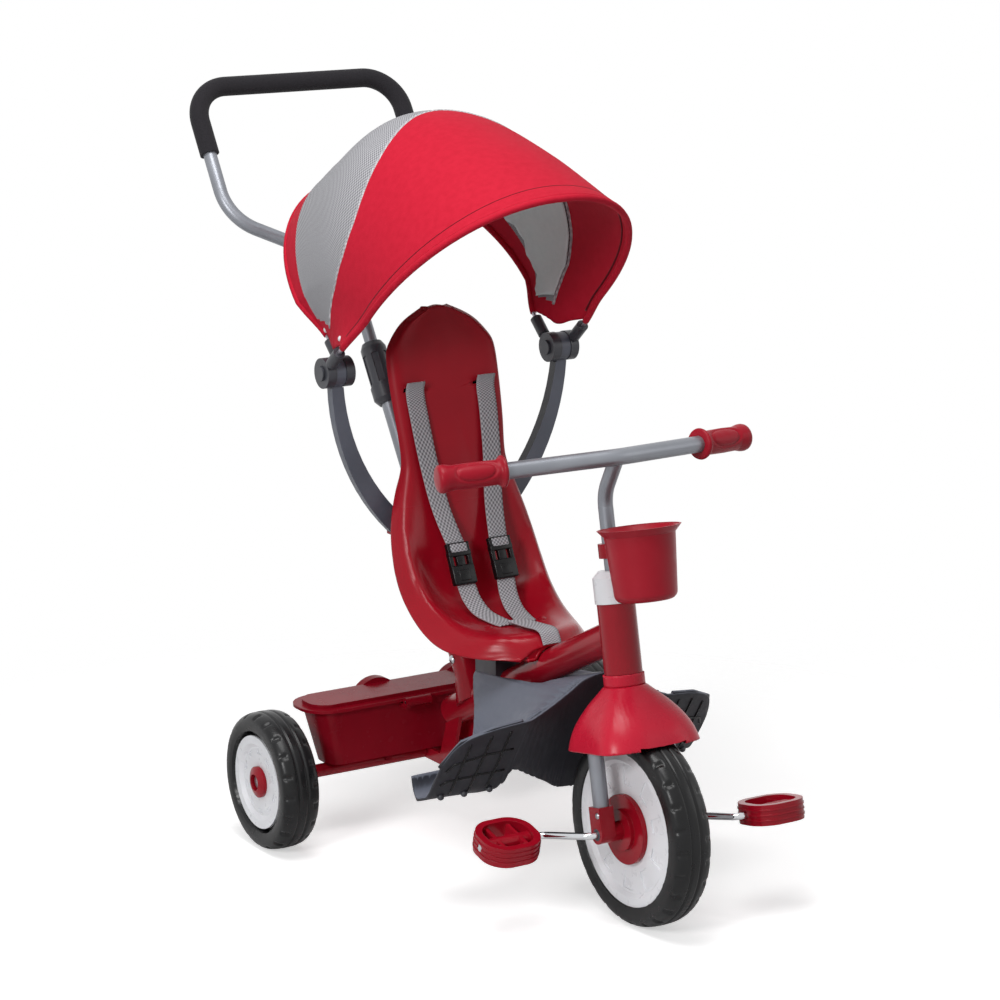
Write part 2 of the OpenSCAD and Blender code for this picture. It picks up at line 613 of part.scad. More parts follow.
module footrest_bolts() color(tube_grey) foot_bolt_places() {
    translate([0, 0, main_tube_r - 2 * tube_wall])
        cylinder(r = foot_bolt_r, h = foot_bolt_grip - main_tube_r + 2 * tube_wall);
    translate([0, 0, foot_bolt_grip]) bolt_head(foot_bolt_head_r, foot_bolt_head_h);
}

// Storage bin
lid_plate_t = 4;
lid_panel_t = 5;
lid_panel_inset = 12;
lid_front_y = wheelbase - lid_ahead;
lid_mid_y = lid_front_y + lid_d / 2;
lid_low_z = lid_top_z - lid_plate_t - lid_panel_t;
bin_inset = 16;
bin_taper_w = 18;
bin_taper_d = 8;
bin_corner_r = 22;
bin_low_z = rear_axle_z + beam_r + 2 * seat_gap;
bin_top_z = lid_low_z - seat_gap;
bin_slab = 1;
hinge_pin_r = 2.5;
hinge_r = 6;
hinge_x = 48;
hinge_len = 22;
hinge_ear = 8;
hinge_y = lid_front_y - hinge_r - seat_gap;
hinge_z = lid_low_z;
lift_x = 66;
lift_r = 36;
lift_drop = 20;
lift_d = 14;
module bin_form(inset) hull() {
    translate([0, lid_mid_y, bin_top_z - bin_slab]) linear_extrude(bin_slab, convexity = 2)
        round_rect(lid_w - 2 * (bin_inset + inset), lid_d - bin_inset - 2 * inset, bin_corner_r - inset);
    translate([0, lid_mid_y, bin_low_z + inset]) linear_extrude(bin_slab)
        round_rect(lid_w - 2 * bin_inset - 2 * bin_taper_w - 2 * inset,
            lid_d - bin_inset - 2 * bin_taper_d - 2 * inset, bin_corner_r - inset);
}
bin_floor_gap = 3;
bin_tab_w = 9;
bin_tab_x = 76;
module bin_tub() color(gloss_red) datum() difference() {
    union() {
        bin_form(0, $fn = 32);
        for (s = [-1, 1], e = [-1, 1]) translate([s * hinge_x, hinge_y, hinge_z])
            translate([e * (hinge_len + hinge_ear + 2 * seat_gap) / 2 - hinge_ear / 2, 0, 0])
                rotate([0, 90, 0]) {
                    cylinder(r = hinge_r, h = hinge_ear);
                    translate([hinge_r / 2, 0, 0]) cube([hinge_r, bin_inset + hinge_r, hinge_ear]);
                }
        for (s = [-1, 1]) translate([s * bin_tab_x - bin_tab_w / 2, wheelbase - beam_r - bin_wall, rear_axle_z])
            cube([bin_tab_w, 2 * (beam_r + bin_wall), beam_r + bin_wall]);
    }
    translate([0, 0, bin_floor_gap]) bin_form(bin_wall, $fn = 32);
    translate([0, lid_mid_y, bin_top_z - 2 * bin_slab]) linear_extrude(2 * bin_inset)
        round_rect(lid_w - 2 * (bin_inset + bin_wall), lid_d - bin_inset - 2 * bin_wall,
            bin_corner_r - bin_wall);
    translate([-hinge_x * 2, hinge_y, hinge_z]) rotate([0, 90, 0]) cylinder(r = hinge_pin_r, h = hinge_x * 4);
    translate([-beam_half, wheelbase, rear_axle_z]) rotate([0, 90, 0]) cylinder(r = beam_r, h = 2 * beam_half);
}
module lid_hinge_pins() color(tube_grey) datum() for (s = [-1, 1])
    translate([s * hinge_x - hinge_len / 2 - hinge_ear, hinge_y, hinge_z]) rotate([0, 90, 0])
        cylinder(r = hinge_pin_r, h = hinge_len + 2 * hinge_ear);
module bin_lid() color(gloss_red) datum() difference() {
    union() {
        translate([0, lid_mid_y, lid_low_z]) linear_extrude(lid_plate_t) round_rect(lid_w, lid_d, lid_corner_r);
        translate([0, lid_mid_y, lid_low_z + lid_plate_t]) linear_extrude(lid_panel_t)
            round_rect(lid_w - 2 * lid_panel_inset, lid_d - 2 * lid_panel_inset,
                lid_corner_r - lid_panel_inset);
        for (s = [-1, 1]) translate([s * lift_x, lid_front_y + lid_d - lift_d, lid_low_z]) rotate([-90, 0, 0])
            intersection() {
                translate([0, lift_drop, 0]) cylinder(r = lift_r, h = lift_d);
                translate([-lift_r, -lift_r, 0]) cube([2 * lift_r, lift_r, lift_d]);
            }
        for (s = [-1, 1]) translate([s * hinge_x - hinge_len / 2, hinge_y, hinge_z]) rotate([0, 90, 0]) {
            cylinder(r = hinge_r, h = hinge_len);
            translate([-lid_plate_t, 0, 0]) cube([lid_plate_t, hinge_r * 2, hinge_len]);
        }
    }
    translate([-hinge_x * 2, hinge_y, hinge_z]) rotate([0, 90, 0])
        cylinder(r = hinge_pin_r + running_fit, h = hinge_x * 4);
}

// Fork and fender
fork_bend_r = 40;
fork_low = 12;
fork_arch = fork_half_w - fork_bend_r;
fork_top = 150;
stem_tube_step = 1;
stem_tube_r = bar_r - stem_tube_step;
steerer_over = 20;
steerer_top = head_tube_low + head_tube_len + steerer_over;
steerer_root = fork_top - fork_tube_r / 2;
fork_leg = fork_top - fork_bend_r - fork_low;
module fork() color(tube_grey) steering() difference() {
    union() {
        translate([-fork_half_w, 0, fork_low]) bent_rod([[fork_leg, 0, 90, fork_bend_r],
            [2 * fork_arch, 0, 90, fork_bend_r], [fork_leg, 0, 0, 0]], fork_tube_r);
        translate([0, 0, steerer_root]) cylinder(r = steerer_r, h = steerer_top - steerer_root);
    }
    translate([0, 0, stem_low]) cylinder(r = stem_tube_r + running_fit, h = steerer_top);
}
// The fender is a lofted cap: rings from the collar down to the open hem
fender_half_w = 74;
fender_front = 80;
fender_rear = 66;
fender_low = 102;
fender_wall = 3;
fender_collar_r = 27;
fender_collar_h = 15;
fender_collar_step = 1;
fender_collar_top = head_tube_low - seat_gap;
fender_h = fender_collar_top - fender_collar_h - fender_low;
fender_drop_shares = [1, 0.9, 0.72, 0.45, 0.2, 0];
fender_spread_shares = [0, 0.15, 0.43, 0.75, 0.93, 1];
fender_turns = 40;
fender_nose_share = 0.72;
fender_tyre_gap = 6;
fender_tyre_side = 9;
function fender_reach(a) = cos(a) < 0 ? fender_rear : fender_front;
fender_square = 0.44;
function fender_outline(a) = let (c = cos(a), s = sin(a),
    w = fender_half_w * (1 - (1 - fender_nose_share) * c * c))
    [w * sign(s) * pow(abs(s), fender_square), -fender_reach(a) * sign(c) * pow(abs(c), fender_square)];
function fender_ring(k, inset) = [for (i = [0 : fender_turns - 1]) let (a = 360 * i / fender_turns,
    low = fender_outline(a), share = fender_spread_shares[k], r = (1 - share) * fender_collar_r - inset)
    [r * sin(a) + share * low[0], share * low[1] - r * cos(a),
     fender_low + fender_drop_shares[k] * fender_h]];
module fender_solid(inset) {
    rings = [for (k = [0 : len(fender_drop_shares) - 1]) fender_ring(k, inset)];
    n = fender_turns;
    last = len(rings) - 1;
    walls = [for (k = [0 : last - 1], i = [0 : n - 1]) let (a = k * n + i, b = k * n + (i + 1) % n)
        each [[a, b, b + n], [a, b + n, a + n]]];
    lids = [for (i = [1 : n - 2]) each [[0, i + 1, i], [last * n, last * n + i, last * n + i + 1]]];
    polyhedron([for (ring = rings) each ring], concat(walls, lids));
}
module fender() color(gloss_red) difference() {
    steering() difference() {
        union() {
            fender_solid(0);
            translate([0, 0, fender_collar_top - fender_collar_h - cut])
                cylinder(r = fender_collar_r - fender_collar_step, h = fender_collar_h + cut);
        }
        translate([0, 0, -fender_wall]) fender_solid(fender_wall);
        translate([0, 0, fender_low]) cylinder(r = steerer_r + seat_gap / 2, h = head_tube_low);
    }
    front_wheel_frame() cylinder(r = front_tyre_r + fender_tyre_gap, h = front_tyre_w + 2 * fender_tyre_side,
        center = true);
}
bracket_h = 34;
bracket_depth = 24;
bracket_in_x = hub_end_x + seat_gap;
axle_bush_r = 7.5;
screw_r = 4;
screw_h = 2;
module fork_brackets() color(gloss_red) steering() both_sides() difference() {
    translate([bracket_in_x, 0, 0]) rotate([0, 90, 0]) {
        cylinder(r = bracket_depth / 2, h = bracket_out_x - bracket_in_x);
        translate([-bracket_h, -bracket_depth / 2, 0])
            cube([bracket_h, bracket_depth, bracket_out_x - bracket_in_x]);
    }
    translate([fork_half_w, 0, fork_low]) cylinder(r = fork_tube_r, h = bracket_h);
    rotate([0, 90, 0]) cylinder(r = axle_bush_r, h = bracket_out_x + cut);
}
module axle_bushes() color(dark_grey) steering() both_sides() translate([bracket_in_x, 0, 0])
    rotate([0, 90, 0]) tube(axle_bush_r, crank_r + running_fit, bracket_out_x - bracket_in_x);
screw_up = 24;
module bracket_screws() color(tube_grey) steering() both_sides()
    translate([bracket_out_x, -bracket_depth / 4, screw_up]) rotate([0, 90, 0]) bolt_head(screw_r, screw_h);

// Handlebar
stem_bend = 40;
stem_bend_r = 45;
stem_slant = (bar_reach - stem_bend_r * (1 - cos(stem_bend))) / sin(stem_bend);
stem_insert = 50;
stem_low = head_tube_low + head_tube_len - stem_insert;
stem_straight = bar_height - stem_bend_r * sin(stem_bend) - stem_slant * cos(stem_bend) - stem_low;
bar_bend_r = 70;
bar_bend_x = bar_bend_r * sin(bar_sweep);
bar_bend_y = bar_bend_r * (1 - cos(bar_sweep));
bar_end_gap = 4;
bar_straight = (bar_half_w - bar_bend_x) / cos(bar_sweep);
bar_run = bar_straight - bar_end_gap;
module bar_frame() steering() translate([0, -bar_reach, bar_height]) children();
module bar_side(side) bar_frame() mirror([side < 0 ? 1 : 0, 0, 0]) translate([bar_bend_x, bar_bend_y, 0])
    rotate([0, 0, bar_sweep]) rotate([0, 90, 0]) children();
module bar_form(r) bar_frame() translate([-bar_bend_x, bar_bend_y, 0]) rotate([0, 0, -bar_sweep])
    rotate([0, 90, 0]) translate([0, 0, -bar_run])
        bent_rod([[bar_run, 90, 2 * bar_sweep, bar_bend_r], [bar_run, 0, 0, 0]], r);
module handlebar() color(tube_grey) bar_form(bar_r);
module stem_tip() difference() {
    bar_frame() rotate([stem_bend, 0, 0]) translate([0, 0, -stem_slant - bend_lap])
        cylinder(r = stem_tube_r, h = stem_slant + bend_lap);
    bar_form(bar_r + running_fit);
}
module handlebar_stem() color(tube_grey) {
    steering() translate([0, 0, stem_low])
        bent_rod([[stem_straight, -90, stem_bend, stem_bend_r]], stem_tube_r);
    stem_tip();
}
grip_flange_r = 20;
grip_flange_t = 6;
grip_neck_t = 5;
grip_end_r = 17.5;
grip_end_t = 11;
grip_wall = 3;
module grip() difference() {
    rotate_extrude() union() {
        square([grip_r, grip_len]);
        square([grip_flange_r, grip_flange_t]);
        translate([0, grip_flange_t])
            polygon([[0, 0], [grip_flange_r - grip_wall, 0], [grip_r, grip_neck_t], [0, grip_neck_t]]);
        translate([0, grip_len - 2 * grip_end_t]) polygon([[0, 0], [grip_r, 0], [grip_end_r, grip_end_t],
            [grip_end_r, 2 * grip_end_t - grip_wall], [grip_end_r - grip_wall, 2 * grip_end_t],
            [0, 2 * grip_end_t]]);
    }
    translate([0, 0, -cut]) cylinder(r = bar_r, h = grip_len - bar_end_gap + cut);
}
module right_grip() color(gloss_red) bar_side(-1) translate([0, 0, bar_straight - grip_len]) grip();
module left_grip() color(gloss_red) bar_side(1) translate([0, 0, bar_straight - grip_len]) grip();
cup_lift = 4;
cup_low = head_tube_low + head_tube_len + cup_lift;
cup_top_r = 44;
cup_low_r = 39;
cup_wall = 2.5;
cup_round_r = 10;
cup_flare_h = 9;
cup_gap = 1.5;
collar_r = 26;
cup_reach = max(cup_rim_r + bar_r + cup_gap, cup_top_r + collar_r);
module cup_shape(inset) rotate_extrude() union() {
    translate([0, cup_round_r]) polygon([[0, inset], [cup_low_r - inset, inset],
        [cup_top_r - inset, cup_h - cup_flare_h - cup_round_r], [cup_rim_r - inset, cup_h - cup_round_r],
        [0, cup_h - cup_round_r]]);
    translate([0, inset]) square([cup_low_r - cup_round_r, cup_round_r]);
    intersection() {
        translate([cup_low_r - cup_round_r, cup_round_r + inset]) circle(r = cup_round_r - inset);
        square([cup_low_r, 2 * cup_round_r]);
    }
}
module cup_frame() steering() translate([0, -cup_reach, cup_low]) children();
module cup_holder() color(gloss_red) cup_frame() difference() {
    cup_shape(0);
    translate([0, 0, cup_wall]) cup_shape(cup_wall);
    translate([0, 0, cup_h - cut]) cylinder(r = cup_rim_r - cup_wall, h = 2 * cup_wall + cut);
}
clip_up = 52;
clip_h = 18;
clip_r = 15;
clip_w = 16;
module cup_clip() color(gloss_red) difference() {
    steering() translate([0, 0, cup_low + clip_up]) {
        cylinder(r = clip_r, h = clip_h);
        translate([-clip_w / 2, -cup_reach + cup_low_r, 0]) cube([clip_w, cup_reach - cup_low_r, clip_h]);
    }
    steering() cylinder(r = stem_tube_r, h = bar_height);
    cup_frame() cup_shape(0);
}
collar_h = 40;
collar_chamfer = 8;
collar_low = head_tube_low + head_tube_len + seat_gap;
module steering_collar() color(rim_white) steering() translate([0, 0, collar_low]) difference() {
    union() {
        cylinder(r = collar_r, h = collar_h - collar_chamfer);
        translate([0, 0, collar_h - collar_chamfer])
            cylinder(r1 = collar_r, r2 = collar_r - collar_chamfer, h = collar_chamfer);
    }
    translate([0, 0, -cut]) cylinder(r = steerer_r, h = steerer_top - collar_low + cut);
    cylinder(r = stem_tube_r, h = collar_h + cut);
}

// Seat bucket: rows from the nose to the back, each with a middle, an inner lip and an outer edge
bucket_mid_y_shares = [-0.01, 0.04, 0.17, 0.35, 0.54, 0.69, 0.765, 0.805, 0.857, 0.906];
bucket_mid_z_shares = [-0.042, 0.025, 0.015, 0, 0.005, 0.06, 0.185, 0.38, 0.63, 0.874];
bucket_lip_x_shares = [0.33, 0.58, 0.71, 0.79, 0.84, 0.86, 0.84, 0.79, 0.72, 0.64];
bucket_lip_y_shares = [0.01, 0.13, 0.29, 0.47, 0.64, 0.74, 0.815, 0.86, 0.9, 0.93];
bucket_lip_z_shares = [-0.1, -0.01, -0.01, 0.045, 0.165, 0.315, 0.48, 0.63, 0.78, 0.93];
bucket_edge_x_shares = [0.39, 0.7, 0.93, 0.975, 1, 1, 0.955, 0.89, 0.79, 0.71];
bucket_edge_y_shares = [0.015, 0.15, 0.345, 0.55, 0.725, 0.835, 0.915, 0.955, 0.98, 0.98];
bucket_edge_z_shares = [-0.11, -0.125, -0.11, -0.055, 0.09, 0.26, 0.47, 0.63, 0.8, 0.94];
bucket_floor_share = 0.62;
bucket_floor_rise_share = 0.2;
bucket_rows = 2;
bucket_columns = 3;
function bucket_at(x_share, y_share, z_share) =
    [x_share * seat_half_w, seat_nose_y + y_share * seat_len, seat_z + z_share * seat_rise];
function bucket_half(k) = let (
    mid = bucket_at(0, bucket_mid_y_shares[k], bucket_mid_z_shares[k]),
    lip = bucket_at(bucket_lip_x_shares[k], bucket_lip_y_shares[k], bucket_lip_z_shares[k]),
    edge = bucket_at(bucket_edge_x_shares[k], bucket_edge_y_shares[k], bucket_edge_z_shares[k]),
    floor = [bucket_floor_share * lip[0], (mid[1] + lip[1]) / 2,
        mid[2] + bucket_floor_rise_share * (lip[2] - mid[2])])
    [mid, floor, lip, edge];
// Rows of the back above the bucket: shares of its height, of its width and of the fall towards its sides
back_low_z = seat_z + seat_rise;
back_h = back_top_z - back_low_z;
back_rise_shares = [0.16, 0.42, 0.68, 0.87, 0.965, 1];
back_width_shares = [0.97, 1, 1, 0.9, 0.64, 0.25];
back_fall_shares = [0, 0, 0, 0.09, 0.06, 0.01];
back_lip = 9;
function back_half(k, roll) = let (z = back_low_z + back_rise_shares[k] * back_h,
    w = back_width_shares[k] * back_half_w, fall = back_fall_shares[k] * back_h, lip = w - back_lip)
    [[0, back_y(z) + roll, z], [bucket_floor_share * lip, back_y(z) + roll, z - fall / 2],
     [lip, back_y(z - fall) + roll, z - fall], [w, back_y(z - fall) + back_roll + roll / 4, z - fall]];
function whole_row(half) = concat([for (i = [3 : -1 : 1]) mirrored(half[i])], half);
back_last = len(back_rise_shares) - 1;
seat_net = concat([whole_row(back_half(back_last, back_roll))],
    [for (k = [back_last : -1 : 0]) whole_row(back_half(k, 0))],
    [for (k = [len(bucket_mid_y_shares) - 1 : -1 : 0]) whole_row(bucket_half(k))]);
slot_z = 612;
slot_x = 54;
slot_h = 5;
slot_side = 3;
module seat_bucket() color(gloss_red) datum() difference() {
    sheet(grid_through(seat_net, bucket_rows, bucket_columns), seat_wall);
    for (s = [-1, 1]) translate([s * slot_x, back_y(slot_z), slot_z])
        cube([strap_w + 2 * slot_side, 2 * back_roll, slot_h], center = true);
}
// Clamp that carries the seat and slides on the main tube
clamp_y = 326;
clamp_len = 52;
clamp_w = 50;
clamp_wall = 5;
clamp_press = 1.5;
module seat_clamp() color(dark_grey) difference() {
    datum() union() {
        translate([0, clamp_y, main_z(clamp_y)]) rotate([-(90 + main_drop), 0, 0])
            cylinder(r = main_tube_r + clamp_wall, h = clamp_len, center = true);
        translate([-clamp_w / 2, clamp_y - clamp_len / 2, main_z(clamp_y)])
            cube([clamp_w, clamp_len, seat_z - seat_wall + clamp_press - main_z(clamp_y)]);
    }
    main_frame() cylinder(r = main_tube_r + running_fit, h = main_tube_len);
}
seat_screw_x = 41;
seat_screw_y = 290;
seat_screw_r = 6;
seat_screw_h = 2.5;
module seat_screws() color(gloss_red) datum() both_sides()
    translate([seat_screw_x, seat_screw_y, seat_z + seat_screw_h / 2]) bolt_head(seat_screw_r, seat_screw_h);

// Harness: webbing ribbons along routes chosen by hand
shoulder_route = [[54, 444, 622], [54, 447.8, 607], [53, 439.2, 575], [49, 425, 520], [41, 409, 460],
    [33, 385.7, 414.2]];
lap_route = [[30.5, 362.3, 361.9], [28, 352, 344], [24, 332, 330], [18, 302, 324.5], [14.5, 284, 323.5]];
crotch_route = [[0, 287, 327], [0, 262, 328], [0, 240, 329.5], [0, 222, 331], [0, 209.6, 328.9], [0, 203.2, 321.4],
    [0, 199.6, 313.8]];
strap_steps = 3;
module ribbon(route, w) {
    path = through(route, strap_steps);
    sheet([for (p = path) [p - [w / 2, 0, 0], p, p + [w / 2, 0, 0]]], strap_t);
}
module shoulder_straps() color(dark_grey) datum() both_sides() ribbon(shoulder_route, strap_w);
module lap_straps() color(dark_grey) datum() for (s = [-1, 1])
    ribbon([for (p = lap_route) [s * p[0], p[1], p[2]]], strap_w);
module crotch_strap() color(dark_grey) datum() ribbon(crotch_route, strap_w);
buckle_w = 34;
buckle_h = 56;
buckle_t = 11;
buckle_x = 32;
buckle_y = 374;
buckle_z = 388;
buckle_lean = 24;
buckle_waist = 5;
module buckles() color(tyre_black) datum() for (s = [-1, 1])
    translate([s * buckle_x, buckle_y, buckle_z]) rotate([90 - buckle_lean, 0, 0])
        linear_extrude(buckle_t, center = true) difference() {
            round_rect(buckle_w, buckle_h, buckle_waist);
            for (e = [-1, 1]) translate([e * buckle_w / 2, 0]) circle(r = buckle_waist);
        }

// Canopy arms and hubs
arm_top_half_w = 8;
arm_low_half_w = 14;
arm_sweep = 50;
arm_rake = 3.5;
arm_points = 14;
hub_pin_r = 5;
hub_head_r = 10;
hub_head_t = 3;
hub_gap = seat_gap;
arm_eye_share = 0.88;
arm_eye_r_share = 0.95;
arm_eye_t = 2 * arm_top_half_w * arm_eye_share;
hub_in_x = hub_x - arm_eye_t / 2 - hub_gap - hub_disc_t;
hub_out_x = hub_x + arm_eye_t / 2 + hub_gap;
function arm_edge(i, side) = let (a = arm_sweep * i / arm_points,
    w = arm_top_half_w + (arm_low_half_w - arm_top_half_w) * i / arm_points, r = arm_bend_r + side * w)
    [hub_x - arm_bend_r + r * cos(a), -r * sin(a)];
module arm(side) hub_frame() mirror([side < 0 ? 1 : 0, 0, 0]) difference() {
    union() {
        rotate([90 + arm_rake, 0, 0]) linear_extrude(arm_t, center = true)
            polygon(concat([for (i = [0 : arm_points]) arm_edge(i, 1)],
                [for (i = [arm_points : -1 : 0]) arm_edge(i, -1)]));
        translate([hub_x - arm_eye_t / 2, 0, 0]) rotate([0, 90, 0])
            cylinder(r = hub_r * arm_eye_r_share, h = arm_eye_t);
    }
    for (e = [-1, 1]) translate([hub_x + e * (arm_eye_t / 2 + hub_r) - hub_r, 0, 0]) rotate([0, 90, 0])
        cylinder(r = hub_r + 2 * hub_gap, h = 2 * hub_r);
    translate([hub_x, 0, 0]) rotate([0, 90, 0]) cylinder(r = hub_pin_r, h = 2 * hub_x, center = true);
}
module right_canopy_arm() color(slate_grey) arm(-1);
module left_canopy_arm() color(slate_grey) arm(1);
module hub_pins() color(dark_grey) hub_frame() both_sides() translate([hub_in_x, 0, 0]) rotate([0, 90, 0]) {
    translate([0, 0, -hub_gap]) cylinder(r = hub_pin_r, h = hub_out_x - hub_in_x + hub_disc_t + 2 * hub_gap);
    translate([0, 0, -hub_gap - hub_head_t]) cylinder(r = hub_head_r, h = hub_head_t);
    translate([0, 0, hub_out_x - hub_in_x + hub_disc_t + hub_gap]) cylinder(r = hub_head_r, h = hub_head_t);
}
ear_w = 36;
ear_h = 36;
ear_d = 58;
ear_in = 14.2;
ear_y = 413.5;
ear_turn = 44.967;
ear_z = hub_z - arm_bend_r * sin(ear_turn);
ear_x = hub_x - arm_bend_r * (1 - cos(ear_turn)) - ear_in;
module arm_brackets() color(gloss_red) difference() {
    datum() both_sides() translate([ear_x - ear_w / 2, ear_y, ear_z - ear_h / 2]) cube([ear_w, ear_d, ear_h]);
    arm(1);
    arm(-1);
}

// Bows and fabric. A bow lies in a plane through the hub axis: x across, r out from the axis
socket_len = 50;
socket_from = 14;
socket_neck_share = 0.92;
socket_neck_r = socket_neck_share * hub_disc_t / 2;
socket_barrel_r = 8;
socket_barrel_step = 2;
socket_barrel_from = hub_r + socket_barrel_step;
bow_seat = 26;
bow_side_share = 0.36;
bow_steps = 18;
bow_sides = 8;
bow_square = 0.94;
function bow_plane(angle, x, r) = [x, r * cos(angle), r * sin(angle)];
// Half-width of a bow at a distance out, easing from its socket to the canopy's width
function bow_side_x(root_x, r) = let (t = min(max((r - bow_seat - socket_len / 2) / (socket_len * 1.5), 0), 1))
    root_x + (canopy_half_w - root_x) * t * t * (3 - 2 * t);
function bow_half(root_x, reach) = let (side_r = bow_side_share * reach) concat(
    [for (i = [0 : bow_steps - 1]) let (r = bow_seat + (side_r - bow_seat) * i / bow_steps)
        [bow_side_x(root_x, r), r]],
    [for (i = [0 : bow_steps]) let (a = 90 * i / bow_steps)
        [canopy_half_w * pow(cos(a), bow_square), side_r + (reach - side_r) * sin(a)]]);
function bow_path(angle, root_x, reach) = let (half = bow_half(root_x, reach), n = len(half) - 1) concat(
    [for (i = [0 : n]) bow_plane(angle, half[i][0], half[i][1])],
    [for (i = [n - 1 : -1 : 0]) bow_plane(angle, -half[i][0], half[i][1])]);
module bow(angle, root_x, reach) hub_frame()
    flat_rod(bow_path(angle, root_x, reach), [0, -sin(angle), cos(angle)], bow_r, bow_sides);
rear_root_x = hub_in_x + hub_disc_t / 2;
front_root_x = hub_out_x + hub_disc_t / 2;
module bow_sockets(angle, disc_x) hub_frame() both_sides() difference() {
    union() {
        translate([disc_x, 0, 0]) rotate([0, 90, 0]) cylinder(r = hub_r, h = hub_disc_t);
        translate([disc_x + hub_disc_t / 2, 0, 0]) rotate([angle - 90, 0, 0]) translate([0, 0, socket_from])
            cylinder(r = socket_neck_r, h = socket_len - socket_from);
        translate([disc_x + hub_disc_t / 2, 0, 0]) rotate([angle - 90, 0, 0])
            translate([0, 0, socket_barrel_from])
                cylinder(r = socket_barrel_r, h = socket_len - socket_barrel_from);
    }
    translate([disc_x - cut, 0, 0]) rotate([0, 90, 0])
        cylinder(r = hub_pin_r + running_fit, h = hub_disc_t + 2 * cut);
    translate([disc_x + hub_disc_t / 2, 0, 0]) rotate([angle - 90, 0, 0])
        translate([0, 0, bow_seat - running_fit]) cylinder(r = bow_r + running_fit, h = socket_len);
}
module rear_bow_sockets() color(dark_grey) bow_sockets(rear_bow_angle, hub_in_x);
module front_bow_sockets() color(dark_grey) bow_sockets(front_bow_angle, hub_out_x);
module rear_bow() color(tube_grey) bow(rear_bow_angle, rear_root_x, rear_bow_reach);
module front_bow() color(tube_grey) bow(front_bow_angle, front_root_x, front_bow_reach);
fabric_gap = 0.6;
fabric_low = 30;
fabric_lift = 10;
fabric_low_edge = socket_len + fabric_lift;
fabric_rows = 3;
fabric_side_n = 4;
fabric_top_n = 9;
fabric_bulge = 1.03;
crown_angle = 86;
// Half outline of the fabric in a plane through the hub axis, from its lower corner to its top
function fabric_half(reach, low) = let (side_r = bow_side_share * reach) concat(
    [for (i = [0 : fabric_side_n - 1]) let (r = low + (side_r - low) * i / fabric_side_n)
        [bow_side_x(hub_x, r), r]],
    [for (i = [0 : fabric_top_n]) let (a = 90 * i / fabric_top_n)
        [canopy_half_w * pow(cos(a), bow_square), side_r + (reach - side_r) * sin(a)]]);
// A whole row of the fabric, held clear of a bow rod on the side given
function fabric_row(angle, reach, low, side) = let (half = fabric_half(reach, low), n = len(half) - 1,
    turn = function (r) angle + side * asin((bow_r + fabric_gap) / r)) concat(
    [for (i = [0 : n]) bow_plane(turn(half[i][1]), -half[i][0], half[i][1])],
    [for (i = [n - 1 : -1 : 0]) bow_plane(turn(half[i][1]), half[i][0], half[i][1])]);
// A row drawn tight between two others, with a little fullness
function tight_row(a, b) = [for (j = [0 : len(a) - 1])
    [(a[j][0] + b[j][0]) / 2, fabric_bulge * (a[j][1] + b[j][1]) / 2, fabric_bulge * (a[j][2] + b[j][2]) / 2]];
fabric_rear = fabric_row(rear_bow_angle, rear_bow_reach, fabric_low_edge, 1);
fabric_crown = fabric_row(crown_angle, crown_reach, fabric_low, 0);
fabric_front = fabric_row(front_bow_angle, front_bow_reach, fabric_low_edge, -1);
fabric_net = [fabric_rear, tight_row(fabric_rear, fabric_crown), fabric_crown,
    tight_row(fabric_crown, fabric_front), fabric_front];
module canopy_fabric() color(cloth_red) hub_frame()
    sheet(grid_through(fabric_net, fabric_rows, 1), fabric_t);

// Push handle
loop_bend_r = 70;
grip_bend_r = 52;
push_insert = 120;
loop_step = 0.5;
loop_tube_r = push_tube_r + loop_step;
loop_knee_r = 20;
loop_knee = 10;
loop_seam = 0.2;
loop_turn = 90 - loop_slope;
loop_knee_x = loop_knee + loop_knee_r * tan(loop_slope / 2);
loop_arm = (loop_half_w - loop_knee_x) / cos(loop_slope) - loop_knee_r * tan(loop_slope / 2)
    - loop_bend_r * tan(loop_turn / 2);
loop_side_low = loop_foot + (loop_half_w - loop_knee_x) * tan(loop_slope) + loop_bend_r * tan(loop_turn / 2);
loop_side = loop_top - grip_bend_r - loop_side_low;
loop_bar = loop_half_w - grip_bend_r;
module push_handle() color(tube_grey) stem_frame() difference() {
    translate([0, 0, stem_end - push_insert]) cylinder(r = push_tube_r, h = loop_foot - stem_end + push_insert);
    translate([0, 0, loop_foot]) rotate([0, 90, 0]) cylinder(r = loop_tube_r, h = loop_half_w, center = true);
}
module push_loop() color(tube_grey) stem_frame() translate([loop_seam - loop_knee, 0, loop_foot])
    rotate([0, 90, 0]) bent_rod([[2 * loop_knee - loop_seam, 180, loop_slope, loop_knee_r],
        [loop_arm, 0, loop_turn, loop_bend_r], [loop_side, 0, 90, grip_bend_r],
        [2 * loop_bar, 0, 90, grip_bend_r], [loop_side, 0, loop_turn, loop_bend_r],
        [loop_arm, 0, loop_slope, loop_knee_r]], loop_tube_r);
foam_drop = foam_reach - grip_bend_r;
module foam_run(r) translate([-loop_half_w, 0, loop_top - foam_reach])
    bent_rod([[foam_drop, 0, 90, grip_bend_r], [2 * loop_bar, 0, 90, grip_bend_r], [foam_drop, 0, 0, 0]], r);
foam_bore_r = loop_tube_r + seat_gap / 2;
module foam_grip() color(dark_grey) stem_frame() difference() {
    foam_run(foam_r);
    foam_run(foam_bore_r);
    for (s = [-1, 1]) translate([s * loop_half_w, 0, loop_top - foam_reach - cut])
        cylinder(r = foam_bore_r, h = 2 * cut);
}
lock_ring_len = 26;
lock_ring_share = 1.08;
lock_neck = 14;
lock_flat_n = 6;
lock_flat_w = 9;
lock_flat_d = 2;
lock_tip = 8;
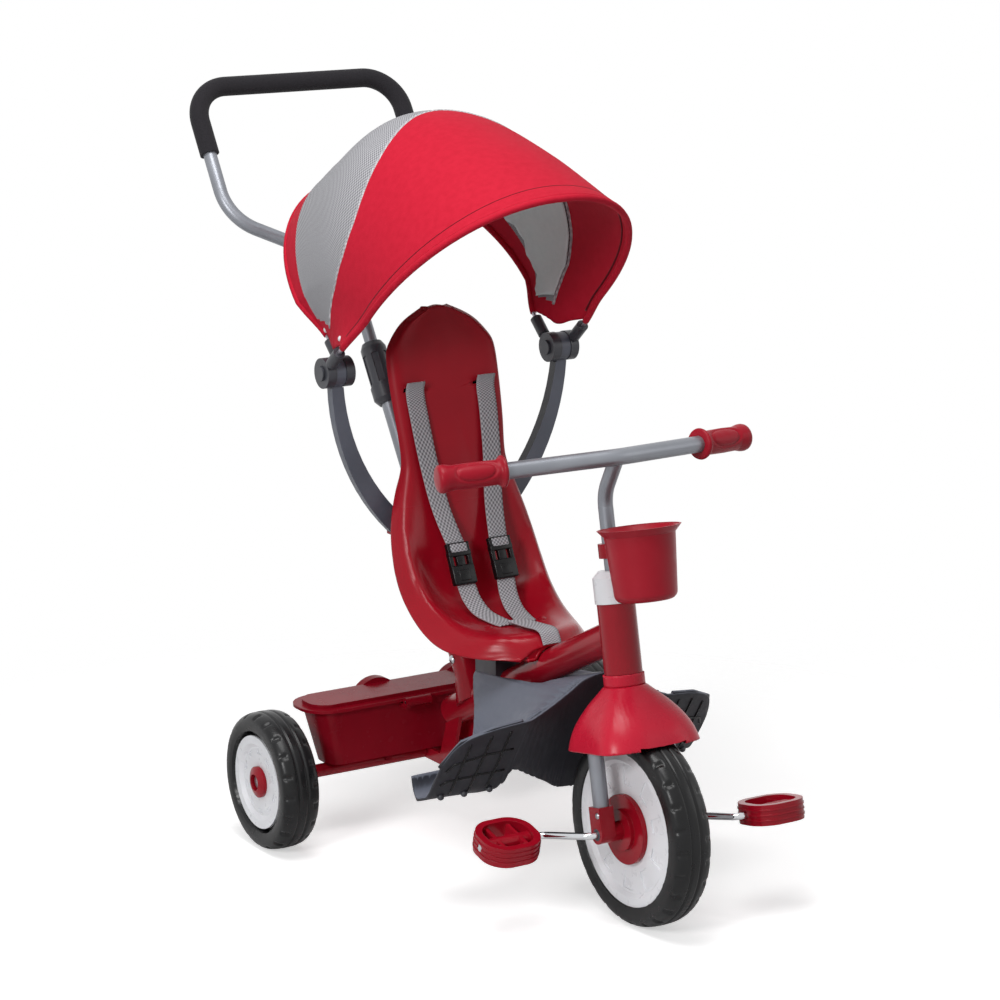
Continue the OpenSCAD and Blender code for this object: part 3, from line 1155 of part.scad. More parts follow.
module lock_collar() color(dark_grey) stem_frame() translate([0, 0, lock_low]) difference() {
    union() {
        cylinder(r1 = lock_r - lock_tip / 2, r2 = lock_r * lock_ring_share, h = lock_tip);
        translate([0, 0, lock_tip]) cylinder(r = lock_r * lock_ring_share, h = lock_ring_len - lock_tip);
        translate([0, 0, lock_ring_len]) cylinder(r = lock_r, h = lock_len - lock_ring_len - lock_tip);
        translate([0, 0, lock_len - lock_tip]) cylinder(r1 = lock_r, r2 = lock_r - lock_tip / 2, h = lock_tip);
    }
    translate([0, 0, -cut]) cylinder(r = stem_r + running_fit, h = lock_len / 2 + seat_gap + cut);
    cylinder(r = push_tube_r + seat_gap, h = lock_len + cut);
    for (k = [0 : lock_flat_n - 1]) rotate([0, 0, 360 * k / lock_flat_n])
        translate([lock_r - lock_flat_d, -lock_flat_w / 2, lock_ring_len + lock_tip / 2])
            cube([2 * lock_flat_d, lock_flat_w, lock_len - lock_ring_len - lock_neck - lock_tip]);
}

main_tube();
head_tube();
head_bushes();
rear_axle_beam();
rear_axle_rod();
axle_nuts();
rear_bracket();
stem_socket();
push_stem();
socket_bolts();
footrest();
footrest_bolts();
bin_tub();
lid_hinge_pins();
fork();
fender();
fork_brackets();
bracket_screws();
axle_bushes();
handlebar_stem();
handlebar();
right_grip();
left_grip();
cup_holder();
cup_clip();
steering_collar();
front_tyre();
front_rim();
front_hub();
crank();
right_pedal();
left_pedal();
right_rear_tyre();
right_rear_rim();
right_hub_cap();
left_rear_tyre();
left_rear_rim();
left_hub_cap();
seat_bucket();
seat_clamp();
seat_screws();
shoulder_straps();
buckles();
lap_straps();
crotch_strap();
arm_brackets();
right_canopy_arm();
left_canopy_arm();
hub_pins();
rear_bow_sockets();
rear_bow();
canopy_fabric();
front_bow_sockets();
front_bow();
push_handle();
push_loop();
foam_grip();
lock_collar();
bin_lid();
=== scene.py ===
# %% [markdown]
# A toddler's push-along trike: a red three-wheeler with a moulded bucket seat, a folding sun canopy and a
# push handle for the parent. The hard parts come from the CAD model. This lesson loads that model as a
# fixed frame, gives each part its finish, and makes the soft and fine pieces: canopy, harness, buckles,
# grips, tyres and trim.

# %% Load the frame
import math

import bmesh
import bpy
from mathutils import Matrix, Vector, noise
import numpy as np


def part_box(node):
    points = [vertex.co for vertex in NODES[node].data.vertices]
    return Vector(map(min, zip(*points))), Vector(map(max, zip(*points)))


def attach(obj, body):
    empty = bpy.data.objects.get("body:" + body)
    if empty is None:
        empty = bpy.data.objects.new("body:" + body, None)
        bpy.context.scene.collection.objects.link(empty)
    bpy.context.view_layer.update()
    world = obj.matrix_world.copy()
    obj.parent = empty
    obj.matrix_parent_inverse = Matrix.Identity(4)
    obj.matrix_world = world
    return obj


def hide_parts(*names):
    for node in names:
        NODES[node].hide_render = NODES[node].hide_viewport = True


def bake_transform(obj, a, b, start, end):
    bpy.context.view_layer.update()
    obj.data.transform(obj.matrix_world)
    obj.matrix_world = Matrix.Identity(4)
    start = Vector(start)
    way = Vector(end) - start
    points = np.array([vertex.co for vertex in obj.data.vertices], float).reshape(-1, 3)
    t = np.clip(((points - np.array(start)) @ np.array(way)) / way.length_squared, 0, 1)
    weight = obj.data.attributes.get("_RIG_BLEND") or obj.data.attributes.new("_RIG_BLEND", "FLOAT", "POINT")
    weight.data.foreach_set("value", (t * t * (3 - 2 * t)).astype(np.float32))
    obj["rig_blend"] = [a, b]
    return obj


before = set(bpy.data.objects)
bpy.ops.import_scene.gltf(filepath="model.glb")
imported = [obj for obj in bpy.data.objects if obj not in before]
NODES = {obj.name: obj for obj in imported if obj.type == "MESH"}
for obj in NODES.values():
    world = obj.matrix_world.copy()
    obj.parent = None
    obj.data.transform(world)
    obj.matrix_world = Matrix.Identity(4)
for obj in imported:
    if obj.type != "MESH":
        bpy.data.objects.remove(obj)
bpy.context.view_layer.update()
MM = 0.001
SIDES = ((-1, "right"), (1, "left"))
tyre_lo, tyre_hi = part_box("front_tyre")
AXLE_Y = (tyre_lo.y + tyre_hi.y) / 2 / MM


def at(x, y, z):
    """A point in millimetres from the front axle's foot, as metres in the row frame."""
    return Vector((x, y + AXLE_Y, z)) * MM


def clamped(value):
    """A value kept between 0 and 1."""
    return min(max(value, 0), 1)


def new_object(name, data):
    made = bpy.data.objects.new(name, data)
    bpy.context.scene.collection.objects.link(made)
    return made


# %% [markdown]
# The camera stands where the photographer stood: in front of the trike and to the rider's right, a little
# above it, with a long lens. Its place was worked out from known points such as wheel centres, so it is
# written as an eye point and three turns.

# %% Camera
EYE = at(-2041.0, -3046.1, 1360.3)
AZIMUTH, ELEVATION, ROLL = (math.radians(v) for v in (-31.191, 12.603, -0.726))
SENSOR = 36.0
LENS = SENSOR * 3.1
back = Vector((math.sin(AZIMUTH) * math.cos(ELEVATION), -math.cos(AZIMUTH) * math.cos(ELEVATION),
               math.sin(ELEVATION)))
right = Vector((math.cos(AZIMUTH), math.sin(AZIMUTH), 0))
up = back.cross(right)
across = right * math.cos(ROLL) + up * math.sin(ROLL)
upright = up * math.cos(ROLL) - right * math.sin(ROLL)
camera = new_object("camera", bpy.data.cameras.new("camera"))
camera.data.sensor_width = SENSOR
camera.data.lens = LENS
camera.matrix_world = Matrix.Translation(EYE) @ Matrix((across, upright, back)).transposed().to_4x4()
bpy.context.scene.camera = camera
bpy.context.scene.view_settings.view_transform = "Standard"

# %% [markdown]
# Every finish is a small tree of shader nodes. The helpers turn an sRGB hex colour into the linear values
# that shaders use, add a node with its settings and links, and give short forms of nodes that come up
# often.

# %% Colour and node helpers


def linear(hex_code):
    """An sRGB hex colour as linear RGBA."""
    parts = [int(hex_code[i:i + 2], 16) / 255 for i in (1, 3, 5)]
    return tuple(v / 12.92 if v <= 0.04045 else ((v + 0.055) / 1.055) ** 2.4 for v in parts) + (1.0,)


def add(tree, kind, settings=(), links=()):
    """One node: settings name properties or input sockets, links give the sockets that feed its inputs."""
    made = tree.nodes.new(kind)
    for key, value in dict(settings).items():
        if isinstance(key, str) and key not in made.inputs:
            setattr(made, key, value)
        else:
            made.inputs[key].default_value = value
    for key, source in dict(links).items():
        tree.links.new(source, made.inputs[key])
    return made


def new_finish(name, **sockets):
    """A material with its plain sockets set; returns it with its tree, shader and object coordinates."""
    made = bpy.data.materials.new(name)
    made.use_nodes = True
    tree = made.node_tree
    shader = tree.nodes["Principled BSDF"]
    for key, value in sockets.items():
        shader.inputs[key.replace("_", " ")].default_value = value
    place = add(tree, "ShaderNodeTexCoord").outputs["Object"]
    return made, tree, shader, place


def two_tone(tree, factor, dark, light):
    """A colour between two hex colours, chosen by a factor socket."""
    mix = add(tree, "ShaderNodeMix", {"data_type": "RGBA", 6: linear(dark), 7: linear(light)}, {0: factor})
    return mix.outputs[2]


def spread(tree, value, low, high, from_low=0.3, from_high=0.7, kind="LINEAR"):
    """A value rescaled to run from low to high."""
    made = add(tree, "ShaderNodeMapRange",
               {"interpolation_type": kind, "From Min": from_low, "From Max": from_high, "To Min": low,
                "To Max": high}, {"Value": value})
    return made.outputs[0]


def grains(tree, place, size_mm, detail):
    """Noise whose grains are about size_mm across."""
    made = add(tree, "ShaderNodeTexNoise", {"Scale": 1 / (size_mm * MM), "Detail": detail}, {"Vector": place})
    return made.outputs[0]


def maths(tree, operation, *inputs):
    """A sum of one or two inputs, each a socket or a number."""
    numbers = {k: v for k, v in enumerate(inputs) if isinstance(v, float)}
    sockets = {k: v for k, v in enumerate(inputs) if k not in numbers}
    return add(tree, "ShaderNodeMath", {"operation": operation, **numbers}, sockets).outputs[0]


def xyz(tree, vector):
    """The three parts of a vector socket, by letter."""
    return add(tree, "ShaderNodeSeparateXYZ", {}, {0: vector}).outputs


def bumped(tree, shader, height, strength, deep_mm):
    """Feeds a height to the shader's normal and returns the bump node."""
    bump = add(tree, "ShaderNodeBump", {"Strength": strength, "Distance": deep_mm * MM}, {"Height": height})
    tree.links.new(bump.outputs[0], shader.inputs["Normal"])
    return bump


def round_edges(tree, bump, radius_mm):
    """Rounds the normal near sharp edges before the bump."""
    edge = add(tree, "ShaderNodeBevel", {"samples": 4, "Radius": radius_mm * MM})
    tree.links.new(edge.outputs[0], bump.inputs["Normal"])


def recoloured(tree, factor, hex_code):
    """Mixes one more colour into a finish's base colour, by a factor socket."""
    base = tree.nodes["Principled BSDF"].inputs["Base Color"]
    mix = add(tree, "ShaderNodeMix", {"data_type": "RGBA", 7: linear(hex_code)},
              {0: factor, 6: base.links[0].from_socket})
    tree.links.new(mix.outputs[2], base)


# %% [markdown]
# Moulded plastic is most of this toy: glossy polypropylene for the red parts, the same with a finer texture
# for the slate arms and footrest. A moulding is never quite even: the colour drifts over tens of
# millimetres, the gloss over about ten, and a spark-eroded mould leaves a grain of about half a millimetre.
# That grain is drawn about twice as coarse here so that it shows. Sharp CAD edges get a rounded normal, as
# a real moulding has.

# %% Moulded plastics
DRIFT_MM = 70.0
GLOSS_MM = 12.0
EDGE_MM = 0.9
RELIEF_MM = 0.3


def moulded(name, dark, light, roughness, grain_mm=1.0, grain=0.04, edge_mm=EDGE_MM, **sockets):
    made, tree, shader, place = new_finish(name, IOR=1.49, **sockets)
    drift = spread(tree, grains(tree, place, DRIFT_MM, 3.0), 0, 1)
    tree.links.new(two_tone(tree, drift, dark, light), shader.inputs["Base Color"])
    gloss = grains(tree, place, GLOSS_MM, 4.0)
    tree.links.new(spread(tree, gloss, roughness * 0.85, roughness * 1.2), shader.inputs["Roughness"])
    bump = bumped(tree, shader, grains(tree, place, grain_mm, 2.0), grain, RELIEF_MM)
    if edge_mm:
        round_edges(tree, bump, edge_mm)
    return made


SHINE = {"Specular_IOR_Level": 0.22}
red_gloss = moulded("moulded_red_polypropylene", "#8e0a1b", "#9a0d20", 0.2, 1.6, 0.01, **SHINE)
red_fender = moulded("moulded_red_hood", "#c01c35", "#ca2139", 0.28, 1.2, 0.02, 0, **SHINE)
red_cup = moulded("moulded_red_cup", "#9a1425", "#a5192a", 0.36, 1.2, 0.02, **SHINE)
red_grip = moulded("soft_moulded_red_grip", "#930c20", "#9f1025", 0.4, 0.9, 0.03, **SHINE)
red_pedal = moulded("moulded_red_pedal", "#980b1f", "#a60f24", 0.16, 1.4, 0.01, **SHINE)
red_bin = moulded("moulded_red_bin", "#7f0a1a", "#8b0d1f", 0.24, 1.6, 0.01, 0, Specular_IOR_Level=0.08)
charcoal = moulded("moulded_charcoal_nylon", "#2f3036", "#3a3b42", 0.38, 1.0, 0.05)
black_acetal = moulded("moulded_black_acetal", "#0d0c0e", "#131214", 0.26, 0.8, 0.02, **SHINE)
white_plastic = moulded("moulded_white_polypropylene", "#e2e3e7", "#e7e8ec", 0.3, 1.6, 0.005, 0.3)
tyre_black = moulded("blown_black_tyre", "#0f0f10", "#18181a", 0.3, 1.2, 0.03, 0, Specular_IOR_Level=0.3)

# %% [markdown]
# The canopy arms are channels: pale slate outside. The side that faces the child is painted dark, as painted
# shade for the shade inside the channel's hollow.

# %% Arm plastic
arm_slate = moulded("moulded_slate_channel", "#4b4f5a", "#595d69", 0.42, 1.0, 0.06)
tree = arm_slate.node_tree
place = tree.nodes["Texture Coordinate"].outputs["Object"]
facing = xyz(tree, add(tree, "ShaderNodeNewGeometry").outputs["Normal"])
# painted shade: faces turned towards the child are darkened, standing in for the shade in the channel's
# hollow
inner = maths(tree, "MULTIPLY", maths(tree, "SIGN", xyz(tree, place)["X"]), facing["X"])
painted_hollow_shade = spread(tree, inner, 0, 1, -0.35, -0.6)
recoloured(tree, painted_hollow_shade, "#232327")

# %% [markdown]
# The seat is one glossy moulding whose back is textured to a satin, so the light spreads there into a pale
# bloom. One material does both: its roughness rises with height, from the shiny pan to the satin back.

# %% Seat plastic
SATIN_FROM, SATIN_TO = at(0, 0, 430).z, at(0, 0, 560).z
PAN_ROUGH, BACK_ROUGH = 0.24, 0.46
seat_red = moulded("moulded_red_seat", "#a00d20", "#aa1124", PAN_ROUGH, 1.2, 0.02, 0, **SHINE)
tree = seat_red.node_tree
height = xyz(tree, tree.nodes["Texture Coordinate"].outputs["Object"])["Z"]
satin = spread(tree, height, PAN_ROUGH, BACK_ROUGH, SATIN_FROM, SATIN_TO, "SMOOTHSTEP")
tree.links.new(satin, tree.nodes["Principled BSDF"].inputs["Roughness"])

# %% [markdown]
# The footrest is a slate moulding too. Its upward faces are painted lighter, a painted highlight for the
# light that falls on them, and its upright apron stays dark as painted shade, so the colour follows the
# surface's own direction.

# %% Footrest plastic
foot_slate = moulded("moulded_slate_footrest", "#2a2a30", "#323238", 0.44, 1.0, 0.05, 0, **SHINE)
tree = foot_slate.node_tree
facing = xyz(tree, add(tree, "ShaderNodeNewGeometry").outputs["Normal"])
# painted highlight: faces that point up are lightened, as if lit from above
painted_top_light = spread(tree, facing["Z"], 0, 1, 0.1, 0.5, "SMOOTHSTEP")
recoloured(tree, painted_top_light, "#676b77")

# %% [markdown]
# The tubes are steel. The main tube and rear axle beam are powder coated red, which lies in a soft orange
# peel of a few millimetres. The handlebar, fork and push handle have a silver-grey paint with fine metal
# flake. The cranks are bright chrome and the screws are zinc plated.

# %% Painted and plated steel
STEEL_EDGE_MM = 0.6


def painted(name, dark, light, roughness, peel_mm, peel, metallic=0.0, coat=0.0, **sockets):
    made, tree, shader, place = new_finish(name, Metallic=metallic, Coat_Weight=coat, Coat_Roughness=0.08,
                                           **sockets)
    drift = spread(tree, grains(tree, place, DRIFT_MM, 2.0), 0, 1)
    tree.links.new(two_tone(tree, drift, dark, light), shader.inputs["Base Color"])
    orange = grains(tree, place, peel_mm, 1.0)
    round_edges(tree, bumped(tree, shader, orange, peel, RELIEF_MM), STEEL_EDGE_MM)
    tree.links.new(spread(tree, orange, roughness * 0.9, roughness * 1.15), shader.inputs["Roughness"])
    return made


red_paint = painted("red_powder_coat", "#8f0b1c", "#9d1022", 0.2, 4.0, 0.06, coat=0.08, **SHINE)
silver_paint = painted("silver_flake_paint", "#83868d", "#92959c", 0.36, 1.2, 0.05, metallic=0.5)
chrome = painted("chrome_plate", "#c9cbce", "#d8dadd", 0.09, 6.0, 0.02, metallic=1.0)
zinc = painted("zinc_plate", "#a4a6aa", "#b9bbbf", 0.28, 0.8, 0.06, metallic=1.0)
# The rods' slight lilac tint is a painted reflection of the red parts around them, on grey aluminium.
bow_rod = painted("drawn_aluminium_rod", "#a29aa4", "#b3abb4", 0.3, 1.0, 0.04, metallic=0.8)

# %% [markdown]
# The push handle is wrapped in closed-cell foam: matte black, with open pores of about a millimetre.

# %% Foam
PORE_MM, PORE_DEEP = 1.4, 0.4
foam, tree, shader, place = new_finish("nitrile_foam", Roughness=0.85, IOR=1.45, Sheen_Weight=0.08,
                                       Sheen_Roughness=0.5, **SHINE)
pores = add(tree, "ShaderNodeTexVoronoi", {"Scale": 1 / (PORE_MM * MM)}, {"Vector": place})
pores = pores.outputs["Distance"]
pore_colour = two_tone(tree, spread(tree, pores, 0, 1, 0.05, 0.5), "#151416", "#262428")
tree.links.new(pore_colour, shader.inputs["Base Color"])
bumped(tree, shader, pores, 0.35, PORE_DEEP)

# %% [markdown]
# The cloth pieces carry their own maps, laid out in metres along the surface, so that threads follow the
# cloth. Canopy cloth is a plain-weave polyester. Its threads are about 0.4 mm, too fine to show, so they
# are drawn at 1.6 mm. The grey panel behind is a knitted mesh and the harness a coarse webbing; each repeat
# of their weave, two threads wide, is drawn about twice as large as it is so that it shows from the camera.
# Those two are bold: their colour follows the weave alone. In the finer cloths it is mixed with a fleck.

# %% Cloth finishes
THREAD_MM = 1.6
MESH_MM = 5.0
RIB_MM = 5.5
FLECK_MM = 9.0
WEAVE_DEEP = 0.4


def woven(name, dark, light, repeat_mm, depth, sheen=0.1, bold=False):
    made, tree, shader, place = new_finish(name, Roughness=0.8, Sheen_Weight=sheen, Sheen_Roughness=0.4,
                                           IOR=1.45, Specular_IOR_Level=0.2)
    part = xyz(tree, add(tree, "ShaderNodeUVMap", {"uv_map": "cloth"}).outputs[0])
    turns = [maths(tree, "MULTIPLY", part[axis], math.tau / (repeat_mm * MM)) for axis in "XY"]
    over = maths(tree, "MULTIPLY", *[maths(tree, "SINE", turn) for turn in turns])
    reach = 0.6 if bold else 1.0
    lift = spread(tree, over, 0, 1, -reach, reach)
    shade = lift
    if not bold:
        fleck = grains(tree, place, FLECK_MM, 5.0)
        shade = spread(tree, maths(tree, "MULTIPLY", lift, fleck), 0, 1, 0.05, 0.55)
    tree.links.new(two_tone(tree, shade, dark, light), shader.inputs["Base Color"])
    bumped(tree, shader, lift, depth, WEAVE_DEEP)
    return made


red_cloth = woven("red_polyester_weave", "#b8122b", "#cc2039", THREAD_MM, 0.25, sheen=0.02)
grey_mesh = woven("grey_knitted_mesh", "#737277", "#bdbdc1", MESH_MM, 0.5, bold=True)
lining = woven("white_lining_cloth", "#d9e8e8", "#e9f5f5", THREAD_MM, 0.2)
webbing = woven("grey_ribbed_webbing", "#737277", "#cac9ce", RIB_MM, 0.7, bold=True)
stitching = woven("dark_red_stitching", "#5a0714", "#690a19", THREAD_MM, 0.3)
piping = woven("grey_piping_cord", "#98989c", "#d6d6da", RIB_MM, 0.6)

# %% [markdown]
# Each CAD part keeps its own mesh and gets its finish here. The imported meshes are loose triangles, so a
# small geometry-node modifier welds them and shades round faces smooth while keeping edges over thirty
# degrees sharp.

# %% Finish the CAD parts
SHARP = math.radians(30)
smoothing = bpy.data.node_groups.new("weld_and_smooth", "GeometryNodeTree")
for way in ("INPUT", "OUTPUT"):
    smoothing.interface.new_socket("Geometry", in_out=way, socket_type="NodeSocketGeometry")
source = add(smoothing, "NodeGroupInput")
weld = add(smoothing, "GeometryNodeMergeByDistance", {"Distance": 0.01 * MM}, {0: source.outputs[0]})
bend = add(smoothing, "GeometryNodeInputMeshEdgeAngle")
sharp = add(smoothing, "FunctionNodeCompare", {"operation": "GREATER_THAN", 1: SHARP}, {0: bend.outputs[0]})
faces = add(smoothing, "GeometryNodeSetShadeSmooth", {"domain": "FACE"}, {0: weld.outputs[0]})
edges = add(smoothing, "GeometryNodeSetShadeSmooth", {"domain": "EDGE", "Shade Smooth": False},
            {0: faces.outputs[0], "Selection": sharp.outputs[0]})
add(smoothing, "NodeGroupOutput", {}, {0: edges.outputs[0]})

FINISHES = {
    red_paint: ["main_tube", "head_tube", "rear_axle_beam", "rear_bracket"],
    red_bin: ["bin_tub", "bin_lid"],
    red_gloss: ["stem_socket", "fork_brackets", "cup_clip", "front_hub", "right_hub_cap", "left_hub_cap",
                "arm_brackets", "seat_screws"],
    red_pedal: ["right_pedal", "left_pedal"],
    red_fender: ["fender"],
    red_cup: ["cup_holder"],
    red_grip: ["right_grip", "left_grip"],
    seat_red: ["seat_bucket"],
    silver_paint: ["fork", "handlebar_stem", "handlebar", "push_stem", "push_handle", "push_loop"],
    chrome: ["crank"],
    zinc: ["rear_axle_rod", "axle_nuts", "socket_bolts", "footrest_bolts", "lid_hinge_pins",
           "bracket_screws"],
    bow_rod: ["rear_bow", "front_bow"],
    arm_slate: ["right_canopy_arm", "left_canopy_arm"],
    foot_slate: ["footrest"],
    charcoal: ["rear_bow_sockets", "front_bow_sockets", "hub_pins", "lock_collar", "head_bushes",
               "axle_bushes", "seat_clamp"],
    white_plastic: ["front_rim", "right_rear_rim", "left_rear_rim", "steering_collar"],
    tyre_black: ["front_tyre", "right_rear_tyre", "left_rear_tyre"],
    foam: ["foam_grip"],
    black_acetal: ["buckles"],
    webbing: ["shoulder_straps", "lap_straps", "crotch_strap"],
    red_cloth: ["canopy_fabric"],
}
for finish, names in FINISHES.items():
    for name in names:
        part = NODES[name]
        part.data.materials.clear()
        part.data.materials.append(finish)
        part.modifiers.new("smooth", "NODES").node_group = smoothing

# %% [markdown]
# The pieces that follow are made in the same few ways: a bmesh becomes a named object, a grid is laid on a
# surface and given a thickness, or rings of points are joined into a skin.

# %% Piece helpers


def finish_piece(name, shape, finishes, body=None, smooth=True):
    """A bmesh as a named object with its finishes, riding on a body."""
    mesh = bpy.data.meshes.new(name)
    shape.to_mesh(mesh)
    shape.free()
    for finish in finishes:
        mesh.materials.append(finish)
    for face in mesh.polygons:
        face.use_smooth = smooth
    made = new_object(name, mesh)
    if body:
        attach(made, body)
    return made


def cloth_grid(columns, rows, place, outward, zone=None):
    """A grid laid on a surface: place(u, v) gives a point for u and v from 0 to 1. Its map is in metres."""
    shape = bmesh.new()
    cloth = shape.loops.layers.uv.new("cloth")
    bmesh.ops.create_grid(shape, x_segments=columns, y_segments=rows, size=0.5)
    flat = {v: (v.co.x + 0.5, v.co.y + 0.5) for v in shape.verts}
    line = [place(k / columns, 0.5) for k in range(columns + 1)]
    width = sum((b - a).length for a, b in zip(line, line[1:]))
    line = [place(0.5, k / rows) for k in range(rows + 1)]
    length = sum((b - a).length for a, b in zip(line, line[1:]))
    for face in shape.faces:
        if zone:
            face.material_index = zone(sum(flat[v][0] for v in face.verts) / 4,
                                       sum(flat[v][1] for v in face.verts) / 4)
        for corner in face.loops:
            u, v = flat[corner.vert]
            corner[cloth].uv = (u * width, v * length)
    for v, (a, b) in flat.items():
        v.co = place(a, b)
    shape.normal_update()
    middle = shape.faces[:][len(shape.faces) // 2]
    if middle.normal.dot(outward) < 0:
        bmesh.ops.reverse_faces(shape, faces=shape.faces[:])
    return shape, width, length


def thicken(piece, thick_mm):
    wall = piece.modifiers.new("thickness", "SOLIDIFY")
    wall.thickness = thick_mm * MM
    wall.offset = -1


def move(shape, matrix):
    bmesh.ops.transform(shape, matrix=matrix, verts=shape.verts[:])


def skin(ring_count, point_count, place, closed):
    """Faces between rings: place(j, k) is point k of ring j. When closed, the last ring joins the first."""
    shape = bmesh.new()
    rings = [[shape.verts.new(place(j, k)) for k in range(point_count)] for j in range(ring_count)]
    for a, b in zip(rings, rings[1:] + rings[:1] if closed else rings[1:]):
        for corners in zip(a, a[1:] + a[:1], b[1:] + b[:1], b):
            shape.faces.new(corners)
    bmesh.ops.recalc_face_normals(shape, faces=shape.faces[:])
    return shape


# %% [markdown]
# Three mouldings are free-form: the seat, the fender and the footrest. Their CAD solids are faceted, so a
# copy of each is welded and rounded with a subdivision surface. Edges that fold sharply are creased first,
# so that rims stay crisp. The copy stands for the CAD part and rides on the same body.

# %% Round the free-form mouldings
WELD = 0.02 * MM
FLAT = math.radians(1)
CREASE = 0.9


def welded(node):
    """The mesh of a CAD part as a bmesh, with its loose triangles joined."""
    shape = bmesh.new()
    shape.from_mesh(NODES[node].data)
    bmesh.ops.remove_doubles(shape, verts=shape.verts[:], dist=WELD)
    return shape


def rounded_copy(name, node, body, finish, crease_degrees, levels=2):
    shape = welded(node)
    flat = [e for e in shape.edges if len(e.link_faces) == 2 and e.calc_face_angle(0) < FLAT]
    bmesh.ops.dissolve_edges(shape, edges=flat, use_verts=False)
    crease = shape.edges.layers.float.new("crease_edge")
    for edge in shape.edges:
        if len(edge.link_faces) != 2 or edge.calc_face_angle(0) > math.radians(crease_degrees):
            edge[crease] = CREASE
    made = finish_piece(name, shape, [finish], body)
    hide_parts(node)
    rounding = made.modifiers.new("round", "SUBSURF")
    rounding.levels = rounding.render_levels = levels
    return made


def evaluated(piece):
    """A piece as its modifiers leave it."""
    return piece.evaluated_get(bpy.context.evaluated_depsgraph_get())


seat = rounded_copy("seat_moulding", "seat_bucket", "seat", seat_red, 50)
hood = rounded_copy("front_hood", "fender", "steering", red_fender, 35, 3)
footrest = rounded_copy("foot_moulding", "footrest", "frame", foot_slate, 45)

# %% [markdown]
# The fender is pressed in three fields that meet in two ridges running down from the collar: a front panel
# and a wing on each side. The rounded copy is made a plain mesh, and its points are drawn in between the
# ridges.

# %% Fender panels
RIDGE_TURN, WING_TURN = math.radians(44), math.radians(80)
FRONT_DIP, WING_DIP = 5.0, 4.5
DIP_FROM, DIP_EASE = 24.0, 30.0
HOOD_MID = at(0, 40, 0).y
hood_mesh = bpy.data.meshes.new_from_object(evaluated(hood))
hood.modifiers.clear()
hood.data = hood_mesh
for v in hood_mesh.vertices:
    out = Vector((v.co.x, v.co.y - HOOD_MID, 0))
    turn = abs(math.atan2(out.x, -out.y))
    if turn < RIDGE_TURN:
        dip = FRONT_DIP * math.cos(math.pi / 2 * turn / RIDGE_TURN)
    else:
        dip = WING_DIP * math.sin(math.pi * min((turn - RIDGE_TURN) / WING_TURN, 1))
    share = clamped((out.length / MM - DIP_FROM) / DIP_EASE)
    v.co -= out.normalized() * dip * share * MM

# %% [markdown]
# The canopy is one continuous cloth hood stretched between two bows that pivot at the hubs beside the seat.
# Its rows are drawn in planes through the hub axis: the rear bow, a crown above the child's head, and the
# front bow, with the cloth pulled tight between. A flat grid is made with the grid operator and each of its
# points is laid on that surface, so the cloth keeps an even map. Each bow is given as its angle, its reach
# from the hub axis at the top, and its reach at the lower corner.

# %% Canopy surface
HUB = at(0, 450, 648)
CANOPY_HALF_W = 177.0
BOW_SIDE_SHARE = 0.36
BOW_SQUARE = 0.94
REAR_ROOT_X, FRONT_ROOT_X = 158.4, 185.6
ROOT_R, ROOT_EASE = 51.0, 75.0
REAR_BOW, CROWN, FRONT_BOW = (43.0, 320.0, 60.0), (86.0, 326.0, 30.0), (140.0, 376.0, 60.0)
ROD_GAP = 3.6
SIDE_PART = 0.3
FULLNESS = 1.03


def side_x(root_x, r):
    t = clamped((r - ROOT_R) / ROOT_EASE)
    return root_x + (CANOPY_HALF_W - root_x) * t * t * (3 - 2 * t)


def bow_outline(reach, low, share, root_x):
    """Half-width and distance from the hub axis, from the lower corner at 0 to the top at 1."""
    side_r = BOW_SIDE_SHARE * reach
    if share < SIDE_PART:
        r = low + (side_r - low) * share / SIDE_PART
        return side_x(root_x, r), r
    turn = math.pi / 2 * (share - SIDE_PART) / (1 - SIDE_PART)
    return CANOPY_HALF_W * max(math.cos(turn), 0) ** BOW_SQUARE, side_r + (reach - side_r) * math.sin(turn)


def bow_point(bow, share, root_x, shift=0.0):
    angle, reach, low = bow
    x, r = bow_outline(reach, low, share, root_x)
    turn = math.radians(angle) + shift / r
    return Vector((x, r * math.cos(turn), r * math.sin(turn)))


def from_hub(p, side):
    """A point in millimetres from the hub axis, on the given side, in the row frame."""
    return HUB + Vector((math.copysign(p.x, side), p.y, p.z)) * MM


def curve_through(points, t):
    """A point on a smooth curve through a list of points, t from 0 to 1."""
    last = len(points) - 1
    k = min(int(t * last), last - 1)
    f = t * last - k
    a, b = points[max(k - 1, 0)], points[k]
    c, d = points[k + 1], points[min(k + 2, last)]
    square, cube = 2 * a - 5 * b + 4 * c - d, 3 * b - a - 3 * c + d
    return 0.5 * (2 * b + (c - a) * f + square * f * f + cube * f ** 3)


def canopy_point(side, back_to_front):
    """side runs -1 to 1 over the top, back_to_front 0 at the rear bow to 1 at the front bow."""
    share = 1 - abs(side)
    rear = bow_point(REAR_BOW, share, REAR_ROOT_X, ROD_GAP)
    crown = bow_point(CROWN, share, (REAR_ROOT_X + FRONT_ROOT_X) / 2)
    front = bow_point(FRONT_BOW, share, FRONT_ROOT_X, -ROD_GAP)
    rows = [rear, None, crown, None, front]
    for k in (1, 3):
        middle = (rows[k - 1] + rows[k + 1]) / 2
        rows[k] = Vector((middle.x, middle.y * FULLNESS, middle.z * FULLNESS))
    return from_hub(curve_through(rows, back_to_front), side)


# %% [markdown]
# Real cloth isn't a perfect surface. Two gentle faults are laid on it: a slow noise of a millimetre or two,
# where the panels were cut a little full, and small puckers near the lower corners, where it is gathered.
# The front and rear hems are folded over and sewn, so the cloth steps up a little there.

